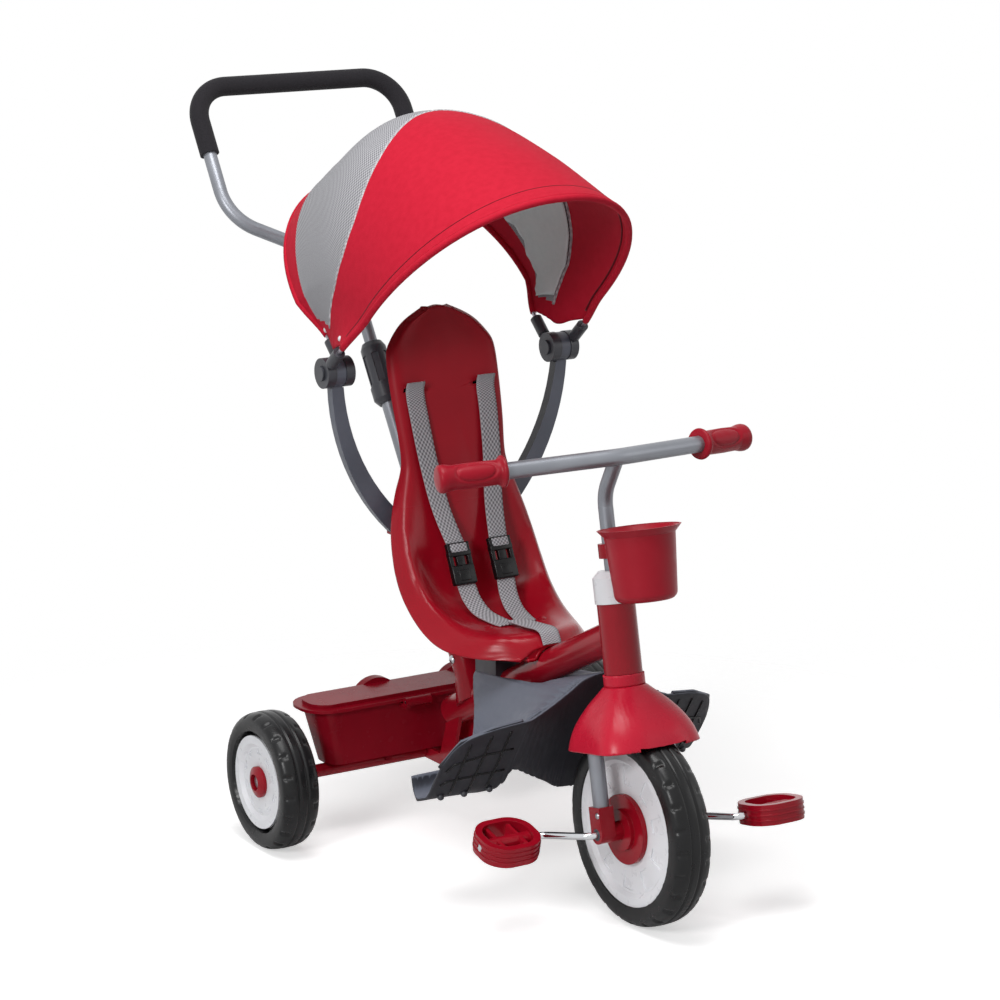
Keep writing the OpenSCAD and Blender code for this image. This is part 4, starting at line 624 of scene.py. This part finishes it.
# %% Canopy cloth
REAR_HEM, SEAM, FRONT_HEM = 0.1, 0.5, 0.95
SEAM_PLACES = [0.51, 0.53, 0.56, 0.59, 0.615, 0.64, 0.645, 0.62, 0.55, 0.45, 0.32]
CANOPY_COLUMNS, CANOPY_ROWS = 120, 80
CLOTH_T = 1.2
FULL_MM, PUCKER_MM, HEM_MM = 2.2, 0.35, 0.9
FULL_SCALE, PUCKER_TURN, PUCKER_SLANT, OUT_LEAN = 9, 46, 9, 0.6
PANEL_CORNER, PANEL_SLANT = 0.09, 0.05


def seam_place(side):
    """Where the seam crosses the hood, from the top at side 0 to the lower corners at side 1."""
    spot = min(abs(side), 1) * (len(SEAM_PLACES) - 1)
    k = min(int(spot), len(SEAM_PLACES) - 2)
    return SEAM_PLACES[k] + (SEAM_PLACES[k + 1] - SEAM_PLACES[k]) * (spot - k)


def hood_point(side, row):
    """A point of the hood with the seam on the row at SEAM."""
    seam = seam_place(side)
    v = row / SEAM * seam if row < SEAM else seam + (row - SEAM) / (1 - SEAM) * (1 - seam)
    return canopy_point(side, v)


def canopy_cloth(u, v):
    side = 2 * u - 1
    p = hood_point(side, v)
    arm = p - HUB
    out = Vector((arm.x * OUT_LEAN, arm.y, arm.z)).normalized()
    low = max(0, 1 - (1 - abs(side)) / SIDE_PART)
    middle = math.sin(math.pi * v)
    full = noise.noise(p * FULL_SCALE) * FULL_MM * middle
    pucker = math.sin(v * PUCKER_TURN + side * PUCKER_SLANT) * PUCKER_MM * low * low * middle
    hem = HEM_MM if v > FRONT_HEM or v < REAR_HEM else 0.0
    return p + out * (full + pucker + hem) * MM


def canopy_zone(u, v):
    """1 on the mesh panel, which ends above the lower corners, and 0 on the red cloth."""
    share = 1 - abs(2 * u - 1)
    corner = PANEL_CORNER + PANEL_SLANT * (1 - min(v / SEAM, 1))
    return 1 if REAR_HEM < v < SEAM and share > corner else 0


shape, canopy_width, canopy_length = cloth_grid(CANOPY_COLUMNS, CANOPY_ROWS, canopy_cloth,
                                                Vector((0, 0, 1)), canopy_zone)
canopy = finish_piece("canopy_hood", shape, [red_cloth, grey_mesh])
thicken(canopy, CLOTH_T)


def fan_blend(piece):
    """The cloth turns about the hub axis, so each point's share of the fold follows its angle there."""
    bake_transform(piece, "rear_bow", "front_bow", start=canopy_point(0, 0), end=canopy_point(0, 1))
    shares = piece.data.attributes["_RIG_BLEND"].data
    low, high = math.radians(REAR_BOW[0]), math.radians(FRONT_BOW[0])
    for v, share in zip(piece.data.vertices, shares):
        turn = math.atan2(v.co.z - HUB.z, v.co.y - HUB.y)
        share.value = clamped((turn - low) / (high - low))


fan_blend(canopy)
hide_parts("canopy_fabric")

# %% [markdown]
# Inside the mesh panel hangs a thin white lining with a wavy, loosely sewn rear edge. It shows through the
# opening on the far side.

# %% Canopy lining
LINING_REACH, LINING_ROWS, LINING_T = 0.86, 24, 0.8
LINING_GAP, LINING_SWAY, SWAY_TURN, IN_LEAN = 5.0, 1.5, 31, 0.8
LINING_REAR, LINING_FRONT, EDGE_WAVES = REAR_HEM + 0.03, SEAM - 0.005, ((0.012, 70), (0.006, 173))


def lining_cloth(u, v):
    side = (2 * u - 1) * LINING_REACH
    low = LINING_REAR + sum(size * math.sin(u * turn) for size, turn in EDGE_WAVES)
    p = hood_point(side, low + (LINING_FRONT - low) * v)
    inward = (HUB - p).normalized()
    inward.x *= IN_LEAN
    return p + inward * (LINING_GAP + LINING_SWAY * math.sin(u * SWAY_TURN) * (1 - v)) * MM


shape, lining_width, lining_length = cloth_grid(CANOPY_COLUMNS, LINING_ROWS, lining_cloth, Vector((0, 0, -1)))
inner = finish_piece("canopy_lining", shape, [lining])
thicken(inner, LINING_T)
fan_blend(inner)

# %% [markdown]
# The hood's edges are sewn round the bow rods, so only the rod ends show. Each hem is a round sleeve swept
# along its bow. A curve with a bevel makes a sleeve quickly; it is turned into a mesh so that it can be
# exported. The pale piping along the seam between the mesh and the red cloth is made in the same way.

# %% Hems and piping
HEM_R, PIPING_R, PIPING_MARGIN = 4.6, 2.4, 0.045
BOW_STEPS, SEAM_STEPS = 72, 90


def cord_piece(name, points, radius_mm, finish, sides, body=None):
    """A round cord through points in metres, as a mesh with a map that runs along it."""
    line = bpy.data.curves.new(name, "CURVE")
    line.dimensions = "3D"
    line.bevel_depth = radius_mm * MM
    line.bevel_resolution = sides // 4
    line.use_fill_caps = True
    spline = line.splines.new("POLY")
    spline.points.add(len(points) - 1)
    for knot, p in zip(spline.points, points):
        knot.co = (*p, 1)
    holder = new_object(name + "_line", line)
    mesh = bpy.data.meshes.new_from_object(evaluated(holder))
    bpy.data.objects.remove(holder)
    shape = bmesh.new()
    shape.from_mesh(mesh)
    bmesh.ops.remove_doubles(shape, verts=shape.verts[:], dist=1e-6)
    cloth = shape.loops.layers.uv.new("cloth")
    for face in shape.faces:
        for corner in face.loops:
            co = corner.vert.co
            corner[cloth].uv = (co.x + co.z * 0.5, co.y + co.z * 0.5)
    bmesh.ops.recalc_face_normals(shape, faces=shape.faces[:])
    return finish_piece(name, shape, [finish], body)


def bow_line(bow, root_x):
    sides = [2 * k / BOW_STEPS - 1 for k in range(BOW_STEPS + 1)]
    return [from_hub(bow_point(bow, 1 - abs(side), root_x), side) for side in sides]


def over_hood(margin, steps, v):
    """Points over the hood along row v, from side to side, less a margin at each end."""
    return [canopy_cloth(margin + (1 - 2 * margin) * k / steps, v) for k in range(steps + 1)]


for end, bow, root_x in (("front", FRONT_BOW, FRONT_ROOT_X), ("rear", REAR_BOW, REAR_ROOT_X)):
    cord_piece(end + "_hem", bow_line(bow, root_x), HEM_R, red_cloth, 12, end + "_bow")

seam = cord_piece("canopy_piping", over_hood(PIPING_MARGIN, SEAM_STEPS, SEAM), PIPING_R, piping, 8)
fan_blend(seam)

# %% [markdown]
# Near each lower corner of the hood a white snap stud stands on the outside of the cloth. Two short steps
# along the surface give the direction it faces.

# %% Snap studs
SNAP_R, SNAP_TOP_R, SNAP_H, SNAP_EDGE = 4.0, 2.4, 2.2, 0.4
SNAP_OUT, SNAP_FROM_EDGE = 2.0, 0.05
STEP = 0.01
for side, side_name in SIDES:
    for label, v in (("rear", 0.17), ("front", 0.83)):
        u = 0.5 + side * 0.5 * (1 - SNAP_FROM_EDGE)
        spot = canopy_cloth(u, v)
        along = canopy_cloth(u, v + STEP) - spot
        over = canopy_cloth(u - side * STEP, v) - spot
        normal = along.cross(over).normalized()
        if normal.x * side < 0:
            normal.negate()
        shape = bmesh.new()
        bmesh.ops.create_cone(shape, cap_ends=True, segments=20, radius1=SNAP_R * MM,
                              radius2=SNAP_TOP_R * MM, depth=SNAP_H * MM)
        bmesh.ops.bevel(shape, geom=shape.edges[:], offset=SNAP_EDGE * MM, segments=2, profile=0.5,
                        affect="EDGES", material=-1)
        turn = normal.to_track_quat("Z", "Y").to_matrix().to_4x4()
        move(shape, Matrix.Translation(spot + normal * SNAP_OUT * MM) @ turn)
        stud = finish_piece(f"{side_name}_{label}_snap", shape, [white_plastic])
        fan_blend(stud)

# %% [markdown]
# A line of stitching holds down the front hem.

# %% Stitching
STITCH_R, STITCH_MARGIN, STITCH_STEPS, STITCH_V = 1.5, 0.04, 120, FRONT_HEM - 0.012
stitch = cord_piece("canopy_stitching", over_hood(STITCH_MARGIN, STITCH_STEPS, STITCH_V), STITCH_R,
                    stitching, 8)
fan_blend(stitch)

# %% [markdown]
# The harness is flat webbing that runs from slots in the seat back through a pair of buckles to the front
# of the seat. Each strap is a narrow grid laid along a smooth route, a little crowned across, and given a
# thickness.

# %% Harness
STRAP_W, STRAP_T, STRAP_CROWN = 27.0, 1.9, 0.35
STRAP_COLUMNS, STRAP_ROWS = 8, 14
SHOULDER = [(54, 444, 622), (54, 447.8, 607), (53, 439.2, 575), (49, 425, 520), (41, 409, 460),
            (33, 385.7, 414.2)]
LAP = [(30.5, 362.3, 361.9), (28, 352, 344), (24, 332, 330), (18, 302, 324.5), (14.5, 284, 323.5)]
CROTCH = [(0, 287, 327), (0, 262, 328), (0, 240, 329.5), (0, 222, 331), (0, 209.6, 328.9),
          (0, 203.2, 321.4), (0, 199.6, 313.8)]


def strap(name, route, node):
    points = [at(*p) for p in route]
    middle = curve_through(points, 0.5)
    ahead = curve_through(points, 0.52) - middle
    outward = Vector((1, 0, 0)).cross(ahead)
    if outward.z < 0 and outward.y > 0 or outward.z < -abs(outward.y):
        outward.negate()

    def place(u, v):
        p = curve_through(points, v)
        crown = STRAP_CROWN * (1 - (2 * u - 1) ** 2)
        return p + Vector(((u - 0.5) * STRAP_W * MM, 0, 0)) + outward.normalized() * crown * MM

    shape, _, length = cloth_grid(STRAP_COLUMNS, STRAP_ROWS * (len(route) - 1), place, outward)
    made = finish_piece(name, shape, [webbing], "seat")
    thicken(made, STRAP_T)
    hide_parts(node)
    print(name, round(length / MM), "mm")


for side, label in SIDES:
    strap(label + "_shoulder_webbing", [(side * x, y, z) for x, y, z in SHOULDER], "shoulder_straps")
    strap(label + "_lap_webbing", [(side * x, y, z) for x, y, z in LAP], "lap_straps")
strap("crotch_webbing", CROTCH, "crotch_strap")

# %% [markdown]
# Side-release buckles: a receptacle below, a plug with two springy prongs, and a ladder frame above that
# the shoulder strap is folded through. Each is a group of bevelled blocks in the buckle's own frame, where
# x runs across the strap, y up along it and z out from it. The last block is the folded webbing.

# %% Buckles
BUCKLE_X, BUCKLE_Y, BUCKLE_Z = 32, 374, 388
BUCKLE_UP, BUCKLE_OUT = Vector((0, 0.407, 0.914)), Vector((0, -0.914, 0.407))


def block(shape, low, high, bevel, mat=0):
    """A bevelled block between two corners, in millimetres."""
    old = set(shape.faces)
    made = bmesh.ops.create_cube(shape, size=1.0)["verts"]
    size = [h - l for l, h in zip(low, high)]
    middle = Vector([(l + h) / 2 for l, h in zip(low, high)])
    bmesh.ops.transform(shape, matrix=Matrix.Translation(middle) @ Matrix.Diagonal((*size, 1)), verts=made)
    edges = list({e for v in made for e in v.link_edges})
    bmesh.ops.bevel(shape, geom=edges, offset=bevel, segments=3, profile=0.5, affect="EDGES", material=-1)
    for face in shape.faces:
        if face not in old:
            face.material_index = mat


for side, label in SIDES:
    shape = bmesh.new()
    cloth = shape.loops.layers.uv.new("cloth")
    block(shape, (-17, -28, -5.5), (17, -2, 5.5), 2.4)
    block(shape, (-8, -23, 5), (8, -9, 6.4), 0.6)
    block(shape, (-6, -4, -3.4), (6, 13, 3.4), 1.2)
    for x in (-14, 14):
        block(shape, (x - 3, -4, -4), (x + 3, 14, 4), 1.4)
        block(shape, (x - 2.6, 16, -4), (x + 2.6, 28, 4), 1.2)
    block(shape, (-17, 10, -5), (17, 18, 5), 1.8)
    block(shape, (-17, 24.5, -4), (17, 28.5, 4), 1.4)
    block(shape, (-12.5, 15, 1.0), (12.5, 27, 5.4), 1.6, 1)
    for face in shape.faces:
        for corner in face.loops:
            corner[cloth].uv = corner.vert.co.xy * MM
    centre = at(side * BUCKLE_X, BUCKLE_Y, BUCKLE_Z)
    turn = Matrix((Vector((1, 0, 0)), BUCKLE_UP, BUCKLE_OUT)).transposed().to_4x4()
    move(shape, Matrix.Translation(centre) @ turn @ Matrix.Scale(MM, 4))
    buckle = finish_piece(label + "_buckle", shape, [black_acetal, webbing], "seat")
    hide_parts("buckles")

# %% [markdown]
# The grips are lathe forms: a flange against the thumb, a slightly swollen barrel and a flared end. A long
# oval finger panel is cut on the front and the back of each. The profile, as distance along and radius, is
# spun round the bar, and each point is then sunk where the panel's outline runs.

# %% Grips
GRIP_PROFILE = [(0, 17.6), (1.0, 19.2), (3, 20), (5, 19.4), (6.2, 17.6), (8, 16.1), (11, 15.3), (28, 15.6),
                (45, 15.8), (60, 15.4), (66, 15.3), (72, 16.5), (76, 17.3), (80, 17.5), (83, 16.9),
                (85, 15.2), (86, 12)]
GRIP_LONG, GRIP_BORE, GRIP_TIP = 86, 10.7, 0.2
GRIP_STEPS, GRIP_SIDES = 110, 96
GRIP_ROOT = Vector((142.2, -302.9, 578.3))
GRIP_ALONG = Vector((0.974, 0.221, -0.042))
PANEL_FACING = Vector((-0.2, -0.8, 0.5))
PANEL_MID, PANEL_LONG, PANEL_WIDE = 39.0, 25.0, 0.85
PANEL_DEEP, PANEL_DISH, PANEL_SQUARE, GROOVE_SOFT = 1.5, 0.5, 2.4, 0.22


def grip_radius(s, turn):
    """The lathe radius at s, less the groove round the finger panel and the panel's own shallow dish."""
    for (s0, r0), (s1, r1) in zip(GRIP_PROFILE, GRIP_PROFILE[1:]):
        if s <= s1:
            base = r0 + (r1 - r0) * (s - s0) / (s1 - s0)
            break
    off = abs(math.remainder(turn, math.pi))
    from_middle = abs((s - PANEL_MID) / PANEL_LONG) ** PANEL_SQUARE + abs(off / PANEL_WIDE) ** PANEL_SQUARE
    ring = math.exp(-((from_middle - 1) / GROOVE_SOFT) ** 2)
    return base - PANEL_DEEP * ring - (PANEL_DISH if from_middle < 1 else 0)


for side, label in SIDES:
    mirror = Vector((side, 1, 1))
    along = (GRIP_ALONG * mirror).normalized()
    front = (PANEL_FACING - along * along.dot(PANEL_FACING)).normalized()
    over = along.cross(front)
    base = GRIP_ROOT * mirror * MM
    stations = [(GRIP_LONG * k / GRIP_STEPS, None) for k in range(GRIP_STEPS + 1)]
    stations = [(0, GRIP_BORE), *stations, (GRIP_LONG, GRIP_TIP)]

    def on_grip(j, k):
        s, r = stations[j]
        turn = math.tau * k / GRIP_SIDES
        spoke = front * math.cos(turn) + over * math.sin(turn)
        return base + (along * s + spoke * (r or grip_radius(s, turn))) * MM

    shape = skin(len(stations), GRIP_SIDES, on_grip, False)
    grip = finish_piece(label + "_finger_grip", shape, [red_grip], "steering")
    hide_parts(label + "_grip")

# %% [markdown]
# The tyres are blown in one piece, so their sides bulge and their treads are soft-edged. Each is a section
# carried round the axle: the tread has two running grooves, and slots are cut into each shoulder.

# %% Tyres
SECTION_STEPS, STEPS_PER_SLOT = 96, 12
WALL_PART, WALL_RISE, WALL_LEAN = 0.14, 0.36, 0.045
SHOULDER_POWER, TREAD_POWER = 0.72, 0.62
SLOTS_DEEP, SLOT_FROM, SLOT_TO, SLOT_EASE, SLOT_WIDE = 2.6, 0.5, 0.97, 0.06, 0.085
GROOVE_DEEP, GROOVE_AT, GROOVE_HALF = 2.0, 0.24, 1.3


def tyre_section(a, radius, half, base):
    """Distance from the middle plane and from the axle, for a from 0 at one bead to 1 at the other."""
    low = base + (radius - base) * WALL_RISE
    if a < WALL_PART or a > 1 - WALL_PART:
        t = min(a, 1 - a) / WALL_PART
        x = half * (1 - WALL_LEAN + WALL_LEAN * math.sin(t * math.pi / 2))
        return (-x if a < 0.5 else x), base + (low - base) * t
    turn = math.pi * (a - WALL_PART) / (1 - 2 * WALL_PART)
    x = -half * math.copysign(abs(math.cos(turn)) ** SHOULDER_POWER, math.cos(turn))
    return x, low + (radius - low) * math.sin(turn) ** TREAD_POWER


def tyre_cut(x, half, turn, slots):
    """How far the tread is cut in: running grooves near the middle, and slots across each shoulder."""
    cut = GROOVE_DEEP * math.exp(-((abs(x) - GROOVE_AT * half) / GROOVE_HALF) ** 4)
    share = abs(x) / half
    if SLOT_FROM < share < SLOT_TO:
        ends = min((share - SLOT_FROM) / SLOT_EASE, (SLOT_TO - share) / SLOT_EASE, 1)
        off = abs(math.remainder(turn * slots + (math.pi if x > 0 else 0), math.tau)) / math.tau
        cut += SLOTS_DEEP * ends * math.exp(-(off / SLOT_WIDE) ** 4)
    return cut


for label, wheel, base, slots in (("front", "front", 98.6, 26), ("right", "right_rear", 69.6, 20),
                                  ("left", "left_rear", 69.6, 20)):
    low, high = (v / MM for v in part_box(wheel + "_tyre"))
    middle, radius, half = (low + high) / 2, (high.z - low.z) / 2, (high.x - low.x) / 2
    rounds = slots * STEPS_PER_SLOT

    def on_tyre(j, k):
        turn = math.tau * j / rounds
        x, r = tyre_section(k / SECTION_STEPS, radius, half, base)
        r -= tyre_cut(x, half, turn, slots)
        return (middle + Vector((x, r * math.cos(turn), r * math.sin(turn)))) * MM

    shape = skin(rounds, SECTION_STEPS + 1, on_tyre, True)
    tyre = finish_piece(label + "_blown_tyre", shape, [tyre_black], wheel + "_wheel")
    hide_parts(wheel + "_tyre")

# %% [markdown]
# The footrest's aprons carry a grid of moulded ribs. They are drawn black: painted shade for the shaded
# grooves of the grid. The footrest's edge is rolled, and small studs stand under the toe. The rim and the toe
# are given at places from the middle to the outer end, as shares of the footrest's length and height. Each
# rib follows a line between them and is dropped on to the moulding with a ray.

# %% Footrest ribs
FOOT_HALF_W, FOOT_Y, FOOT_Z = 200, 80, 138
FOOT_LONG, FOOT_HIGH = 238, 168
FOOT_C = [0.37, 0.5, 0.54, 0.75, 0.93, 1.0]
FOOT_RIM = [(0.042, 0.79), (0.043, 0.72), (0.047, 0.71), (0.085, 0.67), (0.16, 0.575), (0.285, 0.35)]
FOOT_TOE = [(0.27, 0.175), (0.255, 0.25), (0.345, 0.085), (0.375, 0.075), (0.41, 0.07), (0.425, 0.065)]
APRON_OUT, RAY_FROM = Vector((0, -0.826, -0.563)), 0.03
UP_RIBS, CROSS_RIBS, RIB_STEPS = (0.63, 0.75, 0.87), (0.38, 0.7), 12
RIB_FROM, RIB_SPAN, APRON_FROM, CROSS_SPAN, EDGE_STEPS = 0.08, 0.88, 0.56, 0.4, 24
STUDS, STUD_ROW, STUD_DROP = (0.6, 0.77, 0.92), 0.985, 1.5
FOOT_RIB_R, FOOT_EDGE_R, FOOT_STUD_R = 1.7, 2.4, 4.5
foot_shape = evaluated(footrest)


def foot_line(row, c):
    """The place of a row of the footrest at c, from the middle at 0 to the outer end at 1."""
    k = max(i for i, v in enumerate(FOOT_C) if v <= c or i == 0)
    k = min(k, len(FOOT_C) - 2)
    t = (c - FOOT_C[k]) / (FOOT_C[k + 1] - FOOT_C[k])
    y, z = (a + (b - a) * t for a, b in zip(row[k], row[k + 1]))
    return Vector((c * FOOT_HALF_W, FOOT_Y + FOOT_LONG * y, FOOT_Z + FOOT_HIGH * z))


def on_apron(side, c, t):
    """The apron's surface at c, t of the way from the rim to the toe, or None where a ray misses it."""
    p = foot_line(FOOT_RIM, c).lerp(foot_line(FOOT_TOE, c), t)
    start = at(side * p.x, p.y, p.z) + APRON_OUT * RAY_FROM
    hit, spot = foot_shape.ray_cast(start, -APRON_OUT)[:2]
    return spot if hit else None


steps = [k / RIB_STEPS for k in range(RIB_STEPS + 1)]
rib_lines = [[(c, RIB_FROM + RIB_SPAN * k) for k in steps] for c in UP_RIBS]
rib_lines += [[(APRON_FROM + CROSS_SPAN * k, t) for k in steps] for t in CROSS_RIBS]
for side, label in SIDES:
    for number, line in enumerate(rib_lines, 1):
        points = [q for q in (on_apron(side, c, t) for c, t in line) if q is not None]
        # painted shade: the ribs are black, standing in for the shade in the grid's grooves
        cord_piece(f"{label}_foot_rib_{number}", points, FOOT_RIB_R, black_acetal, 8, "frame")
    shares = [k / EDGE_STEPS for k in range(EDGE_STEPS + 1)]
    edge = [foot_line(FOOT_RIM, APRON_FROM + (1 - APRON_FROM) * k) for k in shares]
    cord_piece(label + "_foot_edge", [at(side * q.x, q.y, q.z) for q in edge], FOOT_EDGE_R, foot_slate, 12,
               "frame")
    for number, c in enumerate(STUDS, 1):
        spot = on_apron(side, c, STUD_ROW)
        shape = bmesh.new()
        bmesh.ops.create_uvsphere(shape, u_segments=16, v_segments=10, radius=FOOT_STUD_R * MM)
        move(shape, Matrix.Translation(spot - Vector((0, 0, STUD_DROP * MM))))
        finish_piece(f"{label}_foot_stud_{number}", shape, [charcoal], "frame")

# %% [markdown]
# The seat's nose straddles the main tube. Below its lip a short saddle follows the tube's curve, a little
# clear of it, so that the seat can slide. A floor behind the lip follows the tube too, and closes the gap.

# %% Seat saddle
TUBE_R, TUBE_FALL, SADDLE_GAP = 21.0, math.radians(25.98), 1.5
TUBE_Y, TUBE_Z = 44.8, 361.8
SADDLE_HALF_W, SADDLE_LOWEST, SADDLE_LONG = 34.0, 293.0, 26.0
LIP_Y, LIP_SWEEP, LIP_TOP, LIP_ROUND = 202.1, 0.14, 312.5, 0.009
FLOOR_Y = 203.5
LIP_T, SADDLE_FLOOR_T, SADDLE_COLUMNS = 4.5, 4.0, 40


def saddle_low(x, y):
    axis = TUBE_Z - (y - TUBE_Y) * math.tan(TUBE_FALL)
    reach = TUBE_R + SADDLE_GAP
    rise = math.sqrt(max(reach * reach - x * x, 0)) / math.cos(TUBE_FALL)
    return max(axis + rise, SADDLE_LOWEST)


def saddle_lip(u, v):
    x = (2 * u - 1) * SADDLE_HALF_W
    y = LIP_Y + LIP_SWEEP * abs(x)
    top = LIP_TOP - LIP_ROUND * x * x
    return at(x, y, top + (min(saddle_low(x, y), top - 0.5) - top) * v)


def saddle_floor(u, v):
    x, y = (2 * u - 1) * SADDLE_HALF_W, FLOOR_Y + SADDLE_LONG * v
    return at(x, y, saddle_low(x, y))


for name, rows, place, outward, thick in (
        ("seat_saddle", 6, saddle_lip, Vector((0, -1, 0)), LIP_T),
        ("seat_saddle_floor", 10, saddle_floor, Vector((0, 0, -1)), SADDLE_FLOOR_T)):
    shape = cloth_grid(SADDLE_COLUMNS, rows, place, outward)[0]
    thicken(finish_piece(name, shape, [seat_red], "seat"), thick)

# %% [markdown]
# Behind the seat back a black plate covers each shoulder strap's slot. This is painted shade: a dark plate
# standing in for the shadow inside the slot. A ray from behind finds the back's surface there.

# %% Slot shade plates
SLOT_X, SHADE_PLATE_HALF_W, SHADE_PLATE_T, SHADE_PLATE_SINK = 54, 25, 5, 1.0
SHADE_PLATE_LOW, SHADE_PLATE_HIGH, SHADE_PLATE_EDGE = 598, 638, 1.2
BEHIND_Y, LOOK_Z = 620, (600, 645)
seat_shape = evaluated(seat)
for side, label in SIDES:
    rays = [seat_shape.ray_cast(at(side * SLOT_X, BEHIND_Y, z), Vector((0, -1, 0))) for z in LOOK_Z]
    hits = [spot.y / MM - AXLE_Y for hit, spot, _, _ in rays if hit]
    x, y = side * SLOT_X, max(hits) - SHADE_PLATE_SINK
    shape = bmesh.new()
    block(shape, (x - SHADE_PLATE_HALF_W, y, SHADE_PLATE_LOW), (x + SHADE_PLATE_HALF_W, y + SHADE_PLATE_T, SHADE_PLATE_HIGH), SHADE_PLATE_EDGE)
    move(shape, Matrix.Translation(at(0, 0, 0)) @ Matrix.Scale(MM, 4))
    # painted shade: a black plate that darkens the slot
    finish_piece(label + "_strap_slide", shape, [black_acetal], "seat")

# %% [markdown]
# The arm brackets are pressed into the seat's wall. Their front ends are trimmed here to stop inside the
# wall: each is cut into small faces, and points that would come through are moved back behind the seat's
# inner surface.

# %% Arm brackets
WALL_COVER, LOOK_AHEAD = 1.6, 90.0
shape = welded("arm_brackets")
bmesh.ops.subdivide_edges(shape, edges=shape.edges[:], cuts=5, use_grid_fill=True)
for v in shape.verts:
    ahead = v.co - Vector((0, LOOK_AHEAD * MM, 0))
    hit, spot = seat_shape.ray_cast(ahead, Vector((0, 1, 0)))[:2]
    if hit and v.co.y < spot.y + WALL_COVER * MM:
        v.co.y = spot.y + WALL_COVER * MM
trimmed = finish_piece("arm_bracket_ends", shape, [red_gloss], "seat", smooth=False)
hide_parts("arm_brackets")

# %% [markdown]
# A soft studio: a pale floor that fades into a white surround, an overhead softbox and two side lamps. The
# camera and reflections see a plain white world, and the diffuse light it gives is kept lower, so that
# colours come out as they are written.

# %% Stage and light
FLOOR_R, FLOOR_LIFT = 6.0, 0.5
FADE_FROM, FADE_TO = 0.6, 1.15
WORLD_LIGHT = 0.2
AIM = at(0, 250, 350)
floor_shape = bmesh.new()
bmesh.ops.create_circle(floor_shape, cap_ends=True, segments=96, radius=FLOOR_R)
floor_finish, tree, shader, place = new_finish("pale_floor", Roughness=0.9)
shader.inputs["Base Color"].default_value = linear("#f6f6f6")
shader.inputs["Emission Color"].default_value = (1, 1, 1, 1)
lift = maths(tree, "MULTIPLY", add(tree, "ShaderNodeLightPath").outputs["Is Camera Ray"], FLOOR_LIFT)
tree.links.new(lift, shader.inputs["Emission Strength"])
distance = add(tree, "ShaderNodeVectorMath", {"operation": "LENGTH"}, {0: place}).outputs["Value"]
fade = spread(tree, distance, 0, 1, FADE_FROM, FADE_TO, "SMOOTHSTEP")
clear = add(tree, "ShaderNodeBsdfTransparent")
blend = add(tree, "ShaderNodeMixShader", {}, {0: fade, 1: shader.outputs[0], 2: clear.outputs[0]})
tree.links.new(blend.outputs[0], tree.nodes["Material Output"].inputs["Surface"])
finish_piece("floor", floor_shape, [floor_finish])

world = bpy.data.worlds.new("white_surround")
bpy.context.scene.world = world
world.use_nodes = True
tree = world.node_tree
tree.nodes.clear()
path = add(tree, "ShaderNodeLightPath").outputs
seen = maths(tree, "MAXIMUM", path["Is Camera Ray"], path["Is Glossy Ray"])
seen = maths(tree, "MAXIMUM", seen, path["Is Transmission Ray"])
level = spread(tree, seen, WORLD_LIGHT, 1.0, 0, 1)
surround = add(tree, "ShaderNodeBackground", {"Color": (1, 1, 1, 1)}, {"Strength": level})
add(tree, "ShaderNodeOutputWorld", {}, {0: surround.outputs[0]})

for name, spot, size, power in (("overhead_softbox", at(-500, -100, 2500), 1.2, 32.0),
                                ("left_softbox", at(-2300, -900, 1500), 0.7, 31.0),
                                ("right_fill", at(1900, -1300, 1300), 1.2, 5.0)):
    lamp = bpy.data.lights.new(name, "AREA")
    lamp.size = size
    lamp.energy = power
    holder = new_object(name, lamp)
    holder.location = spot
    holder.rotation_euler = (AIM - spot).to_track_quat("-Z", "Y").to_euler()
